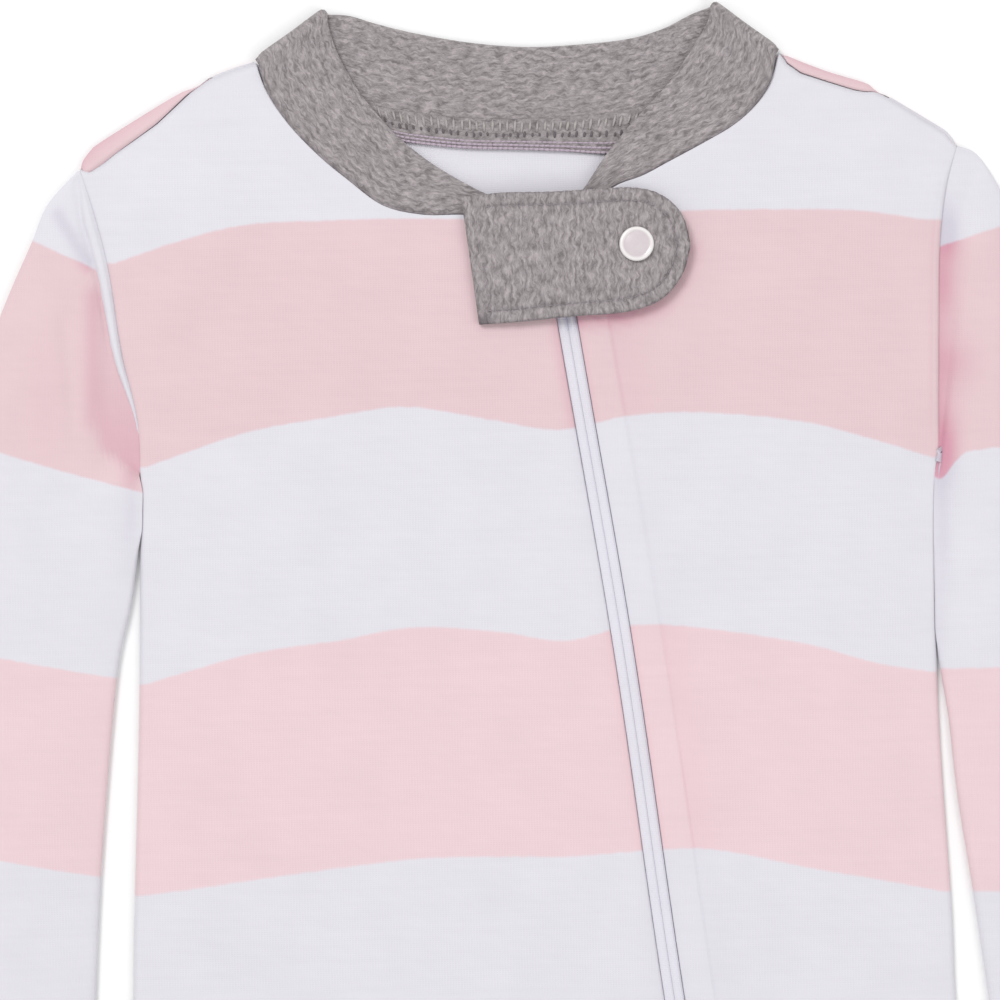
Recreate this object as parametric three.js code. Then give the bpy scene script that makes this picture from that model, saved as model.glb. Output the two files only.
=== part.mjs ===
// A footed baby sleepsuit in cotton jersey, laid flat on its back, front upwards.
// Millimetres. +X is the viewer's right, +Y points to the neck, +Z up from the surface.
// The origin is at the middle of the underside. Places in the tables are measured
// from the back neck point, which lies neckY above the origin.
// "right" and "left" in the names of pieces are the wearer's.
import * as THREE from 'three';

// Driving dimensions
const neckY = 272.1;           // back neck point above the origin
const cloth = 1.2;            // wall of the jersey
const seamGap = 0.3;          // space between two pieces
const bodyLoft = 2.3;         // how far the front stands off the back in mid body
const loftEdge = 34;          // distance over which the front rounds up from its edges
const sleeveLoft = 2.1;
const sleeveLoftEdge = 20;
const edgeRound = 1.1;        // rounding of a sleeve's folded edge
const armholeBottom = -88;
const shoulderTop = 1;
const crotch = -370;
const forkX = 0.5;
const ankle = -520;
const toe = -590;

const ribbing = 2.2;          // wall of the doubled neckband
const bandFrontLow = 2.5;     // underside of the neckband's front layer

const zipHalf = 3;            // half the strip that shows between the fronts
const zipTop = -21.5;
const tapeWidth = 13;
const tapeWall = 0.9;
const chainHalf = 2.1;
const chainWall = 1.2;
const sliderLow = -31;
const sliderLength = 8;
const sliderHalf = 2.6;
const sliderWall = 2.3;
const pullLength = 13;
const pullHalf = 2.4;
const pullWall = 0.8;

const tabWall = 2.2;
const tabLow = 5.3;           // underside at the sewn end
const tabRise = 1.1;          // further lift over the slider and the snap
const tabRiseFrom = -15;
const tabRiseTo = 3;
const snap = { x: 33.5, y: -25.6 };
const socketRadius = 4.6;
const socketWall = 0.9;

// Rows and columns of the cloth's facets
const bodyRows = 24;
const legRows = 9;
const halfColumns = 7;
const stripColumns = 3;
const footColumns = 6;
const footRows = 7;
const sleeveRows = 20;
const sleeveColumns = 8;
const bendRows = 6;           // rows over which a sleeve loses the armhole's curve
const zipRows = 30;
const tabColumns = 6;
const tabRows = 12;
const snapSides = 28;

const frontFloor = cloth + seamGap;

const colours = {
  stripe: { color: 0xefd3d7, roughness: 0.92, metalness: 0 },
  ribbing: { color: 0x9d9896, roughness: 0.95, metalness: 0 },
  tape: { color: 0xe1dfeb, roughness: 0.85, metalness: 0 },
  coil: { color: 0xe4e3ec, roughness: 0.5, metalness: 0 },
  pearl: { color: 0xf0e8ea, roughness: 0.25, metalness: 0 },
  slider: { color: 0xe6e5ea, roughness: 0.35, metalness: 0.2 },
};

// Side seams and armholes of the body, from crotch to shoulder tip
const bodySides = [
  { y: -370, left: -127.5, right: 128.5 },
  { y: -330, left: -125.5, right: 126.5 },
  { y: -290, left: -122.5, right: 123.5 },
  { y: -247, left: -119.3, right: 120.8 },
  { y: -222, left: -118.2, right: 120.4 },
  { y: -160, left: -115, right: 118.1 },
  { y: -110, left: -113.2, right: 118.8 },
  { y: -88, left: -112.4, right: 120 },
  { y: -72, left: -112.8, right: 120.4 },
  { y: -53, left: -116.7, right: 121 },
  { y: -28, left: -120, right: 122 },
  { y: -11, left: -123.9, right: 124.3 },
  { y: 1, left: -127.5, right: 127.8 },
];

// Outer and inner edges of the feet and legs, from toe to crotch
const legSides = [
  { y: -590, leftOut: -86, leftIn: -66, rightIn: 67, rightOut: 87 },
  { y: -587, leftOut: -93, leftIn: -57, rightIn: 58, rightOut: 94 },
  { y: -580, leftOut: -99, leftIn: -48.5, rightIn: 49.5, rightOut: 100 },
  { y: -565, leftOut: -104, leftIn: -40, rightIn: 41, rightOut: 105 },
  { y: -545, leftOut: -105.5, leftIn: -34, rightIn: 35, rightOut: 106.5 },
  { y: -520, leftOut: -108, leftIn: -28, rightIn: 29, rightOut: 109 },
  { y: -500, leftOut: -114, leftIn: -24, rightIn: 25, rightOut: 115 },
  { y: -470, leftOut: -121, leftIn: -18.5, rightIn: 19.5, rightOut: 122 },
  { y: -440, leftOut: -125.5, leftIn: -13.5, rightIn: 14.5, rightOut: 126.5 },
  { y: -410, leftOut: -127.5, leftIn: -8.5, rightIn: 9.5, rightOut: 128.5 },
  { y: -385, leftOut: -127.8, leftIn: -4, rightIn: 5, rightOut: 128.8 },
  { y: -370, leftOut: -127.5, leftIn: 0.5, rightIn: 0.5, rightOut: 128.5 },
];

// The zip's middle line, from the ankle to the neck
const zipLine = [
  { y: -520, x: 73 },
  { y: -470, x: 66.5 },
  { y: -400, x: 60 },
  { y: -340, x: 52 },
  { y: -245, x: 38.7 },
  { y: -140, x: 26.3 },
  { y: -46.5, x: 12.9 },
  { y: -12, x: 8.4 },
];

// Neckband edges, from the end at the zip to the fold at the shoulder:
// seam is where the band joins the body, free is its upper edge
const bandFrontRight = [
  { seamX: 6, seamY: -17.5, freeX: 6.3, freeY: -11.6 },
  { seamX: -6, seamY: -16.3, freeX: -1.5, freeY: -10.9 },
  { seamX: -17, seamY: -15.3, freeX: -8.4, freeY: -9.9 },
  { seamX: -28, seamY: -15, freeX: -22.7, freeY: -1.7 },
  { seamX: -39.5, seamY: -12, freeX: -33.7, freeY: 7 },
  { seamX: -49.7, seamY: -4.1, freeX: -41, freeY: 15.2 },
  { seamX: -58, seamY: 3.2, freeX: -46.6, freeY: 23 },
  { seamX: -66.5, seamY: 12.6, freeX: -51.2, freeY: 32 },
  { seamX: -72.3, seamY: 22, freeX: -53.8, freeY: 40 },
  { seamX: -76.2, seamY: 31.2, freeX: -55.4, freeY: 46.2 },
];
const bandFrontLeft = [
  { seamX: 12.4, seamY: -20.5, freeX: 11.9, freeY: -14.5 },
  { seamX: 20.8, seamY: -14.2, freeX: 14.8, freeY: -12.6 },
  { seamX: 27.9, seamY: -8.3, freeX: 18.6, freeY: -8.9 },
  { seamX: 36, seamY: -5.4, freeX: 25, freeY: 0.2 },
  { seamX: 43.8, seamY: -1.5, freeX: 31.6, freeY: 8.1 },
  { seamX: 53.5, seamY: 3.4, freeX: 38, freeY: 14.8 },
  { seamX: 62.6, seamY: 8.4, freeX: 44.4, freeY: 21.4 },
  { seamX: 69, seamY: 13.8, freeX: 50.8, freeY: 30.2 },
  { seamX: 74, seamY: 21, freeX: 56, freeY: 38.4 },
  { seamX: 77.4, seamY: 29.4, freeX: 58.6, freeY: 45.2 },
];

// Neckband edges across the back, from fold to fold
const bandBack = [
  { seamX: -76.2, seamY: 31.2, freeX: -55.4, freeY: 46.2 },
  { seamX: -66, seamY: 25.6, freeX: -48, freeY: 43.8 },
  { seamX: -52, seamY: 19.8, freeX: -40, freeY: 41.2 },
  { seamX: -37.3, seamY: 15.4, freeX: -29, freeY: 38.2 },
  { seamX: -19, seamY: 12.4, freeX: -13, freeY: 35 },
  { seamX: 0, seamY: 11.4, freeX: 3.2, freeY: 33.3 },
  { seamX: 19, seamY: 11.9, freeX: 19, freeY: 33.6 },
  { seamX: 34.6, seamY: 13.6, freeX: 33, freeY: 34.8 },
  { seamX: 50, seamY: 18, freeX: 43, freeY: 37.4 },
  { seamX: 65, seamY: 24, freeX: 51.5, freeY: 41.4 },
  { seamX: 77.4, seamY: 29.4, freeX: 58.6, freeY: 45.2 },
];

// Lines over which the band folds at the shoulders
const bandFolds = [
  { seamX: -74.6, seamY: 30.3, freeX: -54.1, freeY: 44.3 },
  { seamX: 75.8, seamY: 29, freeX: 57.1, freeY: 43.4 },
];

// Section of the band: across runs from seam to free edge, proud is the share of
// half its wall, first over the outer face and then back along the inner one
const bandProfile = [
  { across: 0, proud: 0.6 },
  { across: 0.12, proud: 0.95 },
  { across: 0.5, proud: 1 },
  { across: 0.88, proud: 0.95 },
  { across: 1, proud: 0.5 },
  { across: 1, proud: -0.5 },
  { across: 0.88, proud: -0.95 },
  { across: 0.5, proud: -1 },
  { across: 0.12, proud: -0.95 },
  { across: 0, proud: -0.6 },
];
const foldTurns = [0, 0.25, 0.5, 0.75, 1].map((part) => part * Math.PI);

// Sleeve outlines from the shoulder tip and the underarm to the hem
const sleeveFold = [
  { x: 128.1, y: 1 },
  { x: 137.2, y: -8.6 },
  { x: 142.4, y: -20 },
  { x: 149.5, y: -35 },
  { x: 157, y: -53 },
  { x: 166, y: -76 },
  { x: 174.5, y: -101 },
  { x: 182, y: -130 },
  { x: 187.4, y: -165 },
  { x: 189.8, y: -200 },
  { x: 190.6, y: -232 },
  { x: 190.4, y: -262 },
];
const sleeveSeam = {
  left: [
    { x: -112.7, y: -88 },
    { x: -114, y: -108 },
    { x: -116.2, y: -126 },
    { x: -121, y: -147.5 },
    { x: -126.8, y: -199.6 },
    { x: -130, y: -243 },
    { x: -131, y: -264 },
  ],
  right: [
    { x: 120.3, y: -88 },
    { x: 119.8, y: -108 },
    { x: 119.5, y: -130 },
    { x: 120.2, y: -152 },
    { x: 122.6, y: -188 },
    { x: 126.8, y: -218 },
    { x: 130.2, y: -247 },
    { x: 131.5, y: -264 },
  ],
};

// Soft troughs of the front and the sleeves, pressed into the upper face
const folds = [
  { x0: -139, y0: -16, x1: -131, y1: -60, width: 6, depth: 0.5 },
  { x0: -131, y0: -44, x1: -124, y1: -84, width: 7, depth: 0.7 },
  { x0: -119, y0: -66, x1: -116, y1: -104, width: 6, depth: 0.8 },
  { x0: 128, y0: -40, x1: 126, y1: -112, width: 6, depth: 0.8 },
  { x0: 112, y0: -152, x1: 114, y1: -206, width: 8, depth: 0.6 },
  { x0: -109, y0: -6, x1: -110, y1: -30, width: 5, depth: 0.35 },
  { x0: -60, y0: -330, x1: -20, y1: -372, width: 14, depth: 0.8 },
];

// Shoulder seams, and the stretch of each over which the back rolls into view
const shoulders = [
  { tipX: -127.5, tipY: 1, neckX: -76.2, neckY: 31.2, rollFrom: 0, rollTo: 0.75, roll: 3 },
  { tipX: 127.8, tipY: 1, neckX: 77.4, neckY: 29.4, rollFrom: 0.3, rollTo: 1, roll: 3.2 },
];

// The closing tab's edges, from its square end to the tip of its round end
const tabLower = [
  { x: -12.6, y: -47.5 },
  { x: 0, y: -47 },
  { x: 15, y: -45.9 },
  { x: 30.4, y: -45 },
  { x: 40.2, y: -41.8 },
  { x: 46.4, y: -35 },
  { x: 49.2, y: -26.4 },
];
const tabUpper = [
  { x: -16.8, y: -10.3 },
  { x: -6, y: -9.6 },
  { x: 8, y: -9.7 },
  { x: 20, y: -9.4 },
  { x: 33.1, y: -9.2 },
  { x: 41.2, y: -11.6 },
  { x: 47, y: -17.6 },
  { x: 49.2, y: -26.4 },
];

// Half sections of the snap's cap and of its socket, from the axis and back to it
const capProfile = [
  { radius: 0, height: 0 },
  { radius: 4.7, height: 0 },
  { radius: 5, height: 0.3 },
  { radius: 4.8, height: 0.85 },
  { radius: 4.2, height: 1.15 },
  { radius: 3.6, height: 1 },
  { radius: 2, height: 1.25 },
  { radius: 0, height: 1.35 },
];
const socketProfile = [
  { radius: 0, height: 0 },
  { radius: socketRadius, height: 0 },
  { radius: socketRadius, height: socketWall },
  { radius: 0, height: socketWall },
];

// Shaping helpers
const clamp = THREE.MathUtils.clamp;
const lerp = THREE.MathUtils.lerp;
const smooth = THREE.MathUtils.smoothstep;

function steps(from, to, count) {
  return Array.from({ length: count + 1 }, (_, i) => lerp(from, to, i / count));
}

// Value of a column at a height, on a smooth curve through the rows
function column(rows, name, y) {
  const last = rows.length - 1;
  let i = 0;
  while (i < last - 1 && y > rows[i + 1].y) {
    i += 1;
  }
  const before = rows[Math.max(i - 1, 0)];
  const after = rows[Math.min(i + 2, last)];
  const a = rows[i];
  const b = rows[i + 1];
  const span = b.y - a.y;
  const t = clamp((y - a.y) / span, 0, 1);
  const slopeA = ((b[name] - before[name]) / (b.y - before.y)) * span;
  const slopeB = ((after[name] - a[name]) / (after.y - a.y)) * span;
  const t2 = t * t;
  const t3 = t2 * t;
  return (2 * t3 - 3 * t2 + 1) * a[name] + (t3 - 2 * t2 + t) * slopeA
    + (3 * t2 - 2 * t3) * b[name] + (t3 - t2) * slopeB;
}

function edgeOf(rows, name, levels, offset = 0) {
  return levels.map((y) => [column(rows, name, y) + offset, y]);
}

// Evenly spaced points on a smooth curve through a list of points
function along(points, count) {
  const through = points.map((p) => new THREE.Vector3(p.x, p.y, 0));
  const curve = new THREE.CatmullRomCurve3(through, false, 'centripetal');
  return curve.getSpacedPoints(count).map((p) => [p.x, p.y]);
}

// The same edge moved sideways, to its left as it runs
function shifted(edge, distance) {
  return edge.map((p, i) => {
    const before = edge[Math.max(i - 1, 0)];
    const after = edge[Math.min(i + 1, edge.length - 1)];
    const dx = after[0] - before[0];
    const dy = after[1] - before[1];
    const length = Math.hypot(dx, dy);
    return [p[0] - (dy / length) * distance, p[1] + (dx / length) * distance];
  });
}

function between(a, b, t) {
  return [lerp(a[0], b[0], t), lerp(a[1], b[1], t)];
}

// Rows of points from one edge to the other
function ruled(leftEdge, rightEdge, columns) {
  return leftEdge.map((start, i) => steps(0, 1, columns)
    .map((t) => between(start, rightEdge[i], t)));
}

// Distance from a point to a straight fold
function distanceTo(fold, x, y) {
  const dx = fold.x1 - fold.x0;
  const dy = fold.y1 - fold.y0;
  const t = clamp(((x - fold.x0) * dx + (y - fold.y0) * dy) / (dx * dx + dy * dy), 0, 1);
  return Math.hypot(x - fold.x0 - t * dx, y - fold.y0 - t * dy);
}

function foldDepth(x, y) {
  return folds.reduce((depth, fold) => depth
    + fold.depth * Math.exp(-((distanceTo(fold, x, y) / fold.width) ** 2)), 0);
}

// Distance inwards from a shoulder seam
function shoulderDistance(seam, x, y) {
  const dx = seam.neckX - seam.tipX;
  const dy = seam.neckY - seam.tipY;
  const across = dx * (y - seam.tipY) - dy * (x - seam.tipX);
  return (-Math.sign(dx) * across) / Math.hypot(dx, dy);
}

// Distance inwards from the nearest folded edge of the body, a leg or a foot
function edgeDistance(x, y) {
  if (y >= crotch) {
    const height = Math.min(y, shoulderTop);
    return Math.max(0, Math.min(
      x - column(bodySides, 'left', height),
      column(bodySides, 'right', height) - x,
      Math.hypot(x - forkX, y - crotch),
      ...shoulders.map((seam) => shoulderDistance(seam, x, y)),
    ));
  }
  const [out, inner] = x < forkX ? ['leftOut', 'leftIn'] : ['rightOut', 'rightIn'];
  return Math.max(0, Math.min(
    Math.abs(column(legSides, out, y) - x),
    Math.abs(column(legSides, inner, y) - x),
    y - toe,
  ));
}

// Height of the front's underside above the surface
function frontUnder(x, y) {
  const roundUp = Math.sin((Math.PI / 2) * Math.min(edgeDistance(x, y) / loftEdge, 1));
  const atNeck = 1 - 0.25 * smooth(y, -60, 20);
  const atFoot = 1 - 0.15 * smooth(-y, 440, 520);
  const lift = roundUp * (bodyLoft * atNeck * atFoot - foldDepth(x, y));
  return frontFloor + Math.max(lift, 0);
}

const frontOver = (x, y) => frontUnder(x, y) + cloth;

// Triangles of grids of plan points that share their common edges
function meshOf(patches) {
  const points = [];
  const index = new Map();
  const triangles = [];
  const number = (p) => {
    const key = `${p[0].toFixed(3)} ${p[1].toFixed(3)}`;
    if (!index.has(key)) {
      index.set(key, points.length);
      points.push(p);
    }
    return index.get(key);
  };
  for (const rows of patches) {
    for (let i = 1; i < rows.length; i += 1) {
      for (let j = 1; j < rows[i].length; j += 1) {
        const a = number(rows[i - 1][j - 1]);
        const b = number(rows[i - 1][j]);
        const c = number(rows[i][j]);
        const d = number(rows[i][j - 1]);
        triangles.push([a, b, c], [a, c, d]);
      }
    }
  }
  return { points, triangles: triangles.filter(([a, b, c]) => a !== b && b !== c && c !== a) };
}

// A closed wall over such grids, between two height functions
function wall(patches, under, over) {
  const { points, triangles } = meshOf(patches);
  const count = points.length;
  const position = [];
  for (const height of [under, over]) {
    for (const [x, y] of points) {
      position.push(x, y + neckY, height(x, y));
    }
  }
  const faces = [];
  const edges = new Set();
  for (const [a, b, c] of triangles) {
    faces.push(c, b, a, a + count, b + count, c + count);
    edges.add(`${a} ${b}`).add(`${b} ${c}`).add(`${c} ${a}`);
  }
  for (const edge of edges) {
    const [from, to] = edge.split(' ').map(Number);
    if (!edges.has(`${to} ${from}`)) {
      faces.push(from, to, to + count, from, to + count, from + count);
    }
  }
  return solid(position, faces);
}

// A closed body through loops of points: a ring of loops, or a run with two ends
function loft(loops, ring) {
  const size = loops[0].length;
  const faces = [];
  const last = ring ? loops.length : loops.length - 1;
  for (let i = 0; i < last; i += 1) {
    const here = i * size;
    const next = ((i + 1) % loops.length) * size;
    for (let j = 0; j < size; j += 1) {
      const k = (j + 1) % size;
      faces.push(here + j, here + k, next + k, here + j, next + k, next + j);
    }
  }
  if (!ring) {
    const end = last * size;
    for (let j = 1; j < size - 1; j += 1) {
      faces.push(0, j + 1, j, end, end + j, end + j + 1);
    }
  }
  return solid(loops.flat(2), faces);
}

// Six times the volume that a list of triangles encloses
function signedVolume(position, faces) {
  const corner = new THREE.Vector3();
  const second = new THREE.Vector3();
  const third = new THREE.Vector3();
  let volume = 0;
  for (let i = 0; i < faces.length; i += 3) {
    corner.fromArray(position, faces[i] * 3);
    second.fromArray(position, faces[i + 1] * 3);
    third.fromArray(position, faces[i + 2] * 3);
    volume += corner.dot(second.cross(third));
  }
  return volume;
}

// Geometry whose faces point out, whichever way round its triangles were listed
function solid(position, faces) {
  const geometry = new THREE.BufferGeometry();
  geometry.setAttribute('position', new THREE.Float32BufferAttribute(position, 3));
  geometry.setIndex(signedVolume(position, faces) < 0 ? faces.toReversed() : faces);
  return geometry;
}

const garment = new THREE.Group();

function addPiece(name, geometry, finish) {
  geometry.computeVertexNormals();
  const piece = new THREE.Mesh(geometry, new THREE.MeshStandardMaterial(finish));
  piece.name = name;
  garment.add(piece);
  return piece;
}

// Heights of the rows
const bodyLevels = steps(crotch, shoulderTop, bodyRows);
const legLevels = steps(ankle, crotch, legRows);
const footLevels = steps(0, 1, footRows)
  .map((t) => lerp(toe, ankle - seamGap, t * t * (2 - t)));

const seamOf = (band) => band.map((row) => [row.seamX, row.seamY]);

// An inner edge that climbs to the neck and then follows the neckline outwards
function neckEdge(neckline, climb) {
  const levels = steps(crotch, neckline[0][1], bodyRows - neckline.length + 1);
  return [...climb(levels).slice(0, -1), ...neckline];
}

// The back's shoulder edge, rolled a little over the seam into view
function rollShoulder(row, seam) {
  const dx = seam.neckX - seam.tipX;
  const dy = seam.neckY - seam.tipY;
  const length = Math.hypot(dx, dy);
  row.forEach((p, j) => {
    const share = j / (row.length - 1);
    const t = clamp((share - seam.rollFrom) / (seam.rollTo - seam.rollFrom), 0, 1);
    const roll = seam.roll * Math.sin(Math.PI * t);
    p[0] -= (Math.sign(dx) * dy * roll) / length;
    p[1] += (Math.abs(dx) * roll) / length;
  });
}

function leg(inner, outer) {
  return ruled(edgeOf(legSides, inner, legLevels), edgeOf(legSides, outer, legLevels), halfColumns);
}

// Back: body and both legs in one piece
function backPanel() {
  const seam = seamOf(bandBack);
  const middle = (seam.length - 1) / 2;
  const leftNeck = shifted(seam.slice(0, middle + 1).reverse(), seamGap);
  const rightNeck = shifted(seam.slice(middle), -seamGap);
  const lowest = between(leftNeck[0], rightNeck[0], 0.5);
  leftNeck[0] = lowest;
  rightNeck[0] = lowest;
  const climb = (levels) => levels.map((y, i) => [
    lerp(forkX, lowest[0], i / (levels.length - 1)),
    y,
  ]);
  const leftSide = edgeOf(bodySides, 'left', bodyLevels);
  const rightSide = edgeOf(bodySides, 'right', bodyLevels);
  const left = ruled(leftSide, neckEdge(leftNeck, climb), halfColumns);
  const right = ruled(neckEdge(rightNeck, climb), rightSide, halfColumns);
  rollShoulder(left.at(-1), shoulders[0]);
  rollShoulder(right.at(-1).toReversed(), shoulders[1]);
  const legs = [leg('leftOut', 'leftIn'), leg('rightIn', 'rightOut')];
  return wall([left, right, ...legs], () => 0, () => cloth);
}

// Wide front: from the wearer's right side to the zip, one leg and part of the other
function frontPanelRight() {
  const wholeLeg = leg('leftOut', 'leftIn');
  const strip = ruled(
    edgeOf(legSides, 'rightIn', legLevels),
    edgeOf(zipLine, 'x', legLevels, -zipHalf),
    stripColumns,
  );
  const neckline = shifted(seamOf(bandFrontRight), seamGap);
  const rightEdge = neckEdge(neckline, (levels) => edgeOf(zipLine, 'x', levels, -zipHalf));
  const side = column(bodySides, 'left', crotch);
  const share = (forkX - side) / (rightEdge[0][0] - side);
  const body = edgeOf(bodySides, 'left', bodyLevels).map((start, i) => {
    const split = between(start, rightEdge[i], share);
    const wide = steps(0, 1, halfColumns).map((t) => between(start, split, t));
    const narrow = steps(0, 1, stripColumns).map((t) => between(split, rightEdge[i], t));
    return [...wide, ...narrow.slice(1)];
  });
  body[0] = [...wholeLeg.at(-1), ...strip.at(-1).slice(1)];
  return wall([body, wholeLeg, strip], frontUnder, frontOver);
}

// Narrow front: from the zip to the wearer's left side, with the outside of that leg
function frontPanelLeft() {
  const neckline = shifted(seamOf(bandFrontLeft), -seamGap);
  const low = legLevels.slice(0, -1);
  const inner = [
    ...edgeOf(zipLine, 'x', low, zipHalf),
    ...neckEdge(neckline, (levels) => edgeOf(zipLine, 'x', levels, zipHalf)),
  ];
  const outer = [
    ...edgeOf(legSides, 'rightOut', low),
    ...edgeOf(bodySides, 'right', bodyLevels),
  ];
  return wall([ruled(inner, outer, halfColumns)], frontUnder, frontOver);
}

addPiece('back_panel', backPanel(), colours.stripe);
addPiece('front_panel_right', frontPanelRight(), colours.stripe);
addPiece('front_panel_left', frontPanelLeft(), colours.stripe);

// Feet: a rounded upper over a flat sole
for (const [side, from, to] of [['right', 'leftOut', 'leftIn'], ['left', 'rightIn', 'rightOut']]) {
  const foot = ruled(
    edgeOf(legSides, from, footLevels),
    edgeOf(legSides, to, footLevels),
    footColumns,
  );
  addPiece(`foot_sole_${side}`, wall([foot], () => 0, () => cloth), colours.stripe);
  addPiece(`foot_upper_${side}`, wall([foot], frontUnder, frontOver), colours.stripe);
}

// Loop round a flattened tube: along the underside, round one edge, back over the top
function tubeLoop(row, width, rise, inset) {
  const doubled = 2 * cloth + seamGap;
  const last = row.length - 1;
  const place = (t) => {
    const at = clamp(t, 0, 1) * last;
    const j = Math.min(Math.floor(at), last - 1);
    return between(row[j], row[j + 1], at - j);
  };
  const margin = (inset + edgeRound) / width;
  const inner = row.map((_, j) => place(lerp(margin, 1 - margin, j / last)));
  const bottom = inner.map((p) => [...p, inset]);
  const top = inner.map((p, j) => [...p, doubled + rise[j] - inset]).reverse();
  const farEdge = [...place(1 - inset / width), doubled / 2];
  const nearEdge = [...place(inset / width), doubled / 2];
  return [...bottom, farEdge, ...top, nearEdge].map(([x, y, z]) => [x, y + neckY, z]);
}

// Sleeve: a flattened tube from the armhole to the hem, open at both ends
function sleeve(side, mirror) {
  const levels = steps(armholeBottom, shoulderTop, sleeveColumns);
  const armhole = edgeOf(bodySides, side, levels, mirror * seamGap);
  const fold = along(sleeveFold.map((p) => ({ x: p.x * mirror, y: p.y })), sleeveRows);
  const seam = along(sleeveSeam[side], sleeveRows);
  seam[0] = armhole[0];
  fold[0] = armhole.at(-1);
  const outside = [];
  const inside = [];
  for (let i = 0; i <= sleeveRows; i += 1) {
    const bend = Math.max(0, 1 - i / bendRows);
    const width = Math.hypot(fold[i][0] - seam[i][0], fold[i][1] - seam[i][1]);
    const row = armhole.map((p, j) => {
      const t = j / sleeveColumns;
      const straight = between(seam[i], fold[i], t);
      const chord = between(armhole[0], armhole.at(-1), t);
      return straight.map((value, axis) => value + (p[axis] - chord[axis]) * bend);
    });
    const rise = row.map((p, j) => {
      const t = j / sleeveColumns;
      const inwards = Math.min(t, 1 - t) * width;
      const fromArmhole = Math.hypot(p[0] - armhole[j][0], p[1] - armhole[j][1]);
      const roundUp = Math.sin((Math.PI / 2) * Math.min(inwards / sleeveLoftEdge, 1));
      const open = Math.min(fromArmhole / sleeveLoftEdge, 1);
      return Math.max(0, roundUp * open * (sleeveLoft - foldDepth(p[0], p[1])));
    });
    outside.push(tubeLoop(row, width, rise, 0));
    inside.unshift(tubeLoop(row, width, rise, cloth));
  }
  return loft([...outside, ...inside], true);
}

addPiece('sleeve_right', sleeve('left', -1), colours.stripe);
addPiece('sleeve_left', sleeve('right', 1), colours.stripe);

// Direction away from the garment across a shoulder fold of the band
function foldOutwards(row) {
  const length = Math.hypot(row.freeX - row.seamX, row.freeY - row.seamY);
  const side = Math.sign(row.seamX);
  return {
    x: (side * (row.freeY - row.seamY)) / length,
    y: (-side * (row.freeX - row.seamX)) / length,
  };
}

// Section of the band at a row, turned about the fold by an angle:
// nought lies on the front layer, half a turn on the back layer
function bandSection(row, turn) {
  const half = ribbing / 2;
  const radius = bandFrontLow / 2;
  const outwards = foldOutwards(row);
  return bandProfile.map(({ across, proud }) => {
    const reach = radius + proud * half;
    const bulge = reach * Math.sin(turn);
    return [
      lerp(row.seamX, row.freeX, across) + outwards.x * bulge,
      lerp(row.seamY, row.freeY, across) + outwards.y * bulge + neckY,
      half + radius + reach * Math.cos(turn),
    ];
  });
}

// Neckband: one doubled ribbon, folded over at both shoulders
function neckband() {
  const [rightFold, leftFold] = bandFolds
    .map((row) => foldTurns.map((turn) => bandSection(row, turn)));
  const front = (row) => bandSection(row, 0);
  return loft([
    ...bandFrontRight.slice(0, -1).map(front),
    ...rightFold,
    ...bandBack.slice(1, -1).map((row) => bandSection(row, Math.PI)),
    ...leftFold.reverse(),
    ...bandFrontLeft.slice(0, -1).reverse().map(front),
  ], false);
}

addPiece('neckband', neckband(), colours.ribbing);

// A strip that follows the zip's line between two heights
function zipStrip(from, to, under, over, levels) {
  const left = edgeOf(zipLine, 'x', levels, from);
  const right = edgeOf(zipLine, 'x', levels, to);
  return wall([ruled(left, right, 2)], under, over);
}

// Zip: a tape under each front edge, and the coil between the two edges
const tapeOver = (x, y) => frontUnder(x, y) - seamGap;
const tapeUnder = (x, y) => tapeOver(x, y) - tapeWall;
const chainOver = (x, y) => frontUnder(x, y) + chainWall;
const tapeLevels = steps(ankle, zipTop, zipRows);
const chainLevels = steps(ankle, sliderLow - seamGap, zipRows);
const tapeRight = zipStrip(-tapeWidth, -seamGap / 2, tapeUnder, tapeOver, tapeLevels);
const tapeLeft = zipStrip(seamGap / 2, tapeWidth, tapeUnder, tapeOver, tapeLevels);
addPiece('zip_tape_right', tapeRight, colours.tape);
addPiece('zip_tape_left', tapeLeft, colours.tape);
addPiece('zip_chain', zipStrip(-chainHalf, chainHalf, frontUnder, chainOver, chainLevels), colours.coil);

// Slider at the top of the zip, with its pull lying down the coil under the tab
const sliderLevels = steps(sliderLow, sliderLow + sliderLength, 2);
const sliderTop = frontUnder(column(zipLine, 'x', sliderLow), sliderLow) + sliderWall;
const slider = zipStrip(-sliderHalf, sliderHalf, frontUnder, () => sliderTop, sliderLevels);
addPiece('zip_slider', slider, colours.slider);

const pullUnder = (x, y) => frontOver(x, y) + seamGap;
const pullOver = (x, y) => pullUnder(x, y) + pullWall;
const pullLevels = steps(sliderLow - pullLength, sliderLow - seamGap, 3);
addPiece('zip_pull', zipStrip(-pullHalf, pullHalf, pullUnder, pullOver, pullLevels), colours.slider);

// Tab: sewn at its square end, snapped at its round end
const tabUnder = (x) => tabLow + tabRise * smooth(x, tabRiseFrom, tabRiseTo);
const tabOver = (x) => tabUnder(x) + tabWall;
const tabGrid = ruled(along(tabLower, tabRows), along(tabUpper, tabRows), tabColumns);
addPiece('neck_tab', wall([tabGrid], tabUnder, tabOver), colours.ribbing);

// Snap: a pearl cap on the tab and its socket on the front below
function turned(profile, base) {
  const points = profile.map(({ radius, height }) => new THREE.Vector2(radius, height));
  const geometry = new THREE.LatheGeometry(points, snapSides);
  geometry.rotateX(Math.PI / 2);
  geometry.translate(snap.x, snap.y + neckY, base);
  return geometry;
}

const socketBase = frontOver(snap.x, snap.y - socketRadius) + seamGap;
addPiece('snap_cap', turned(capProfile, tabOver(snap.x) + seamGap), colours.pearl);
addPiece('snap_socket', turned(socketProfile, socketBase), colours.pearl);

export default garment;
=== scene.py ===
import math
import random

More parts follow.
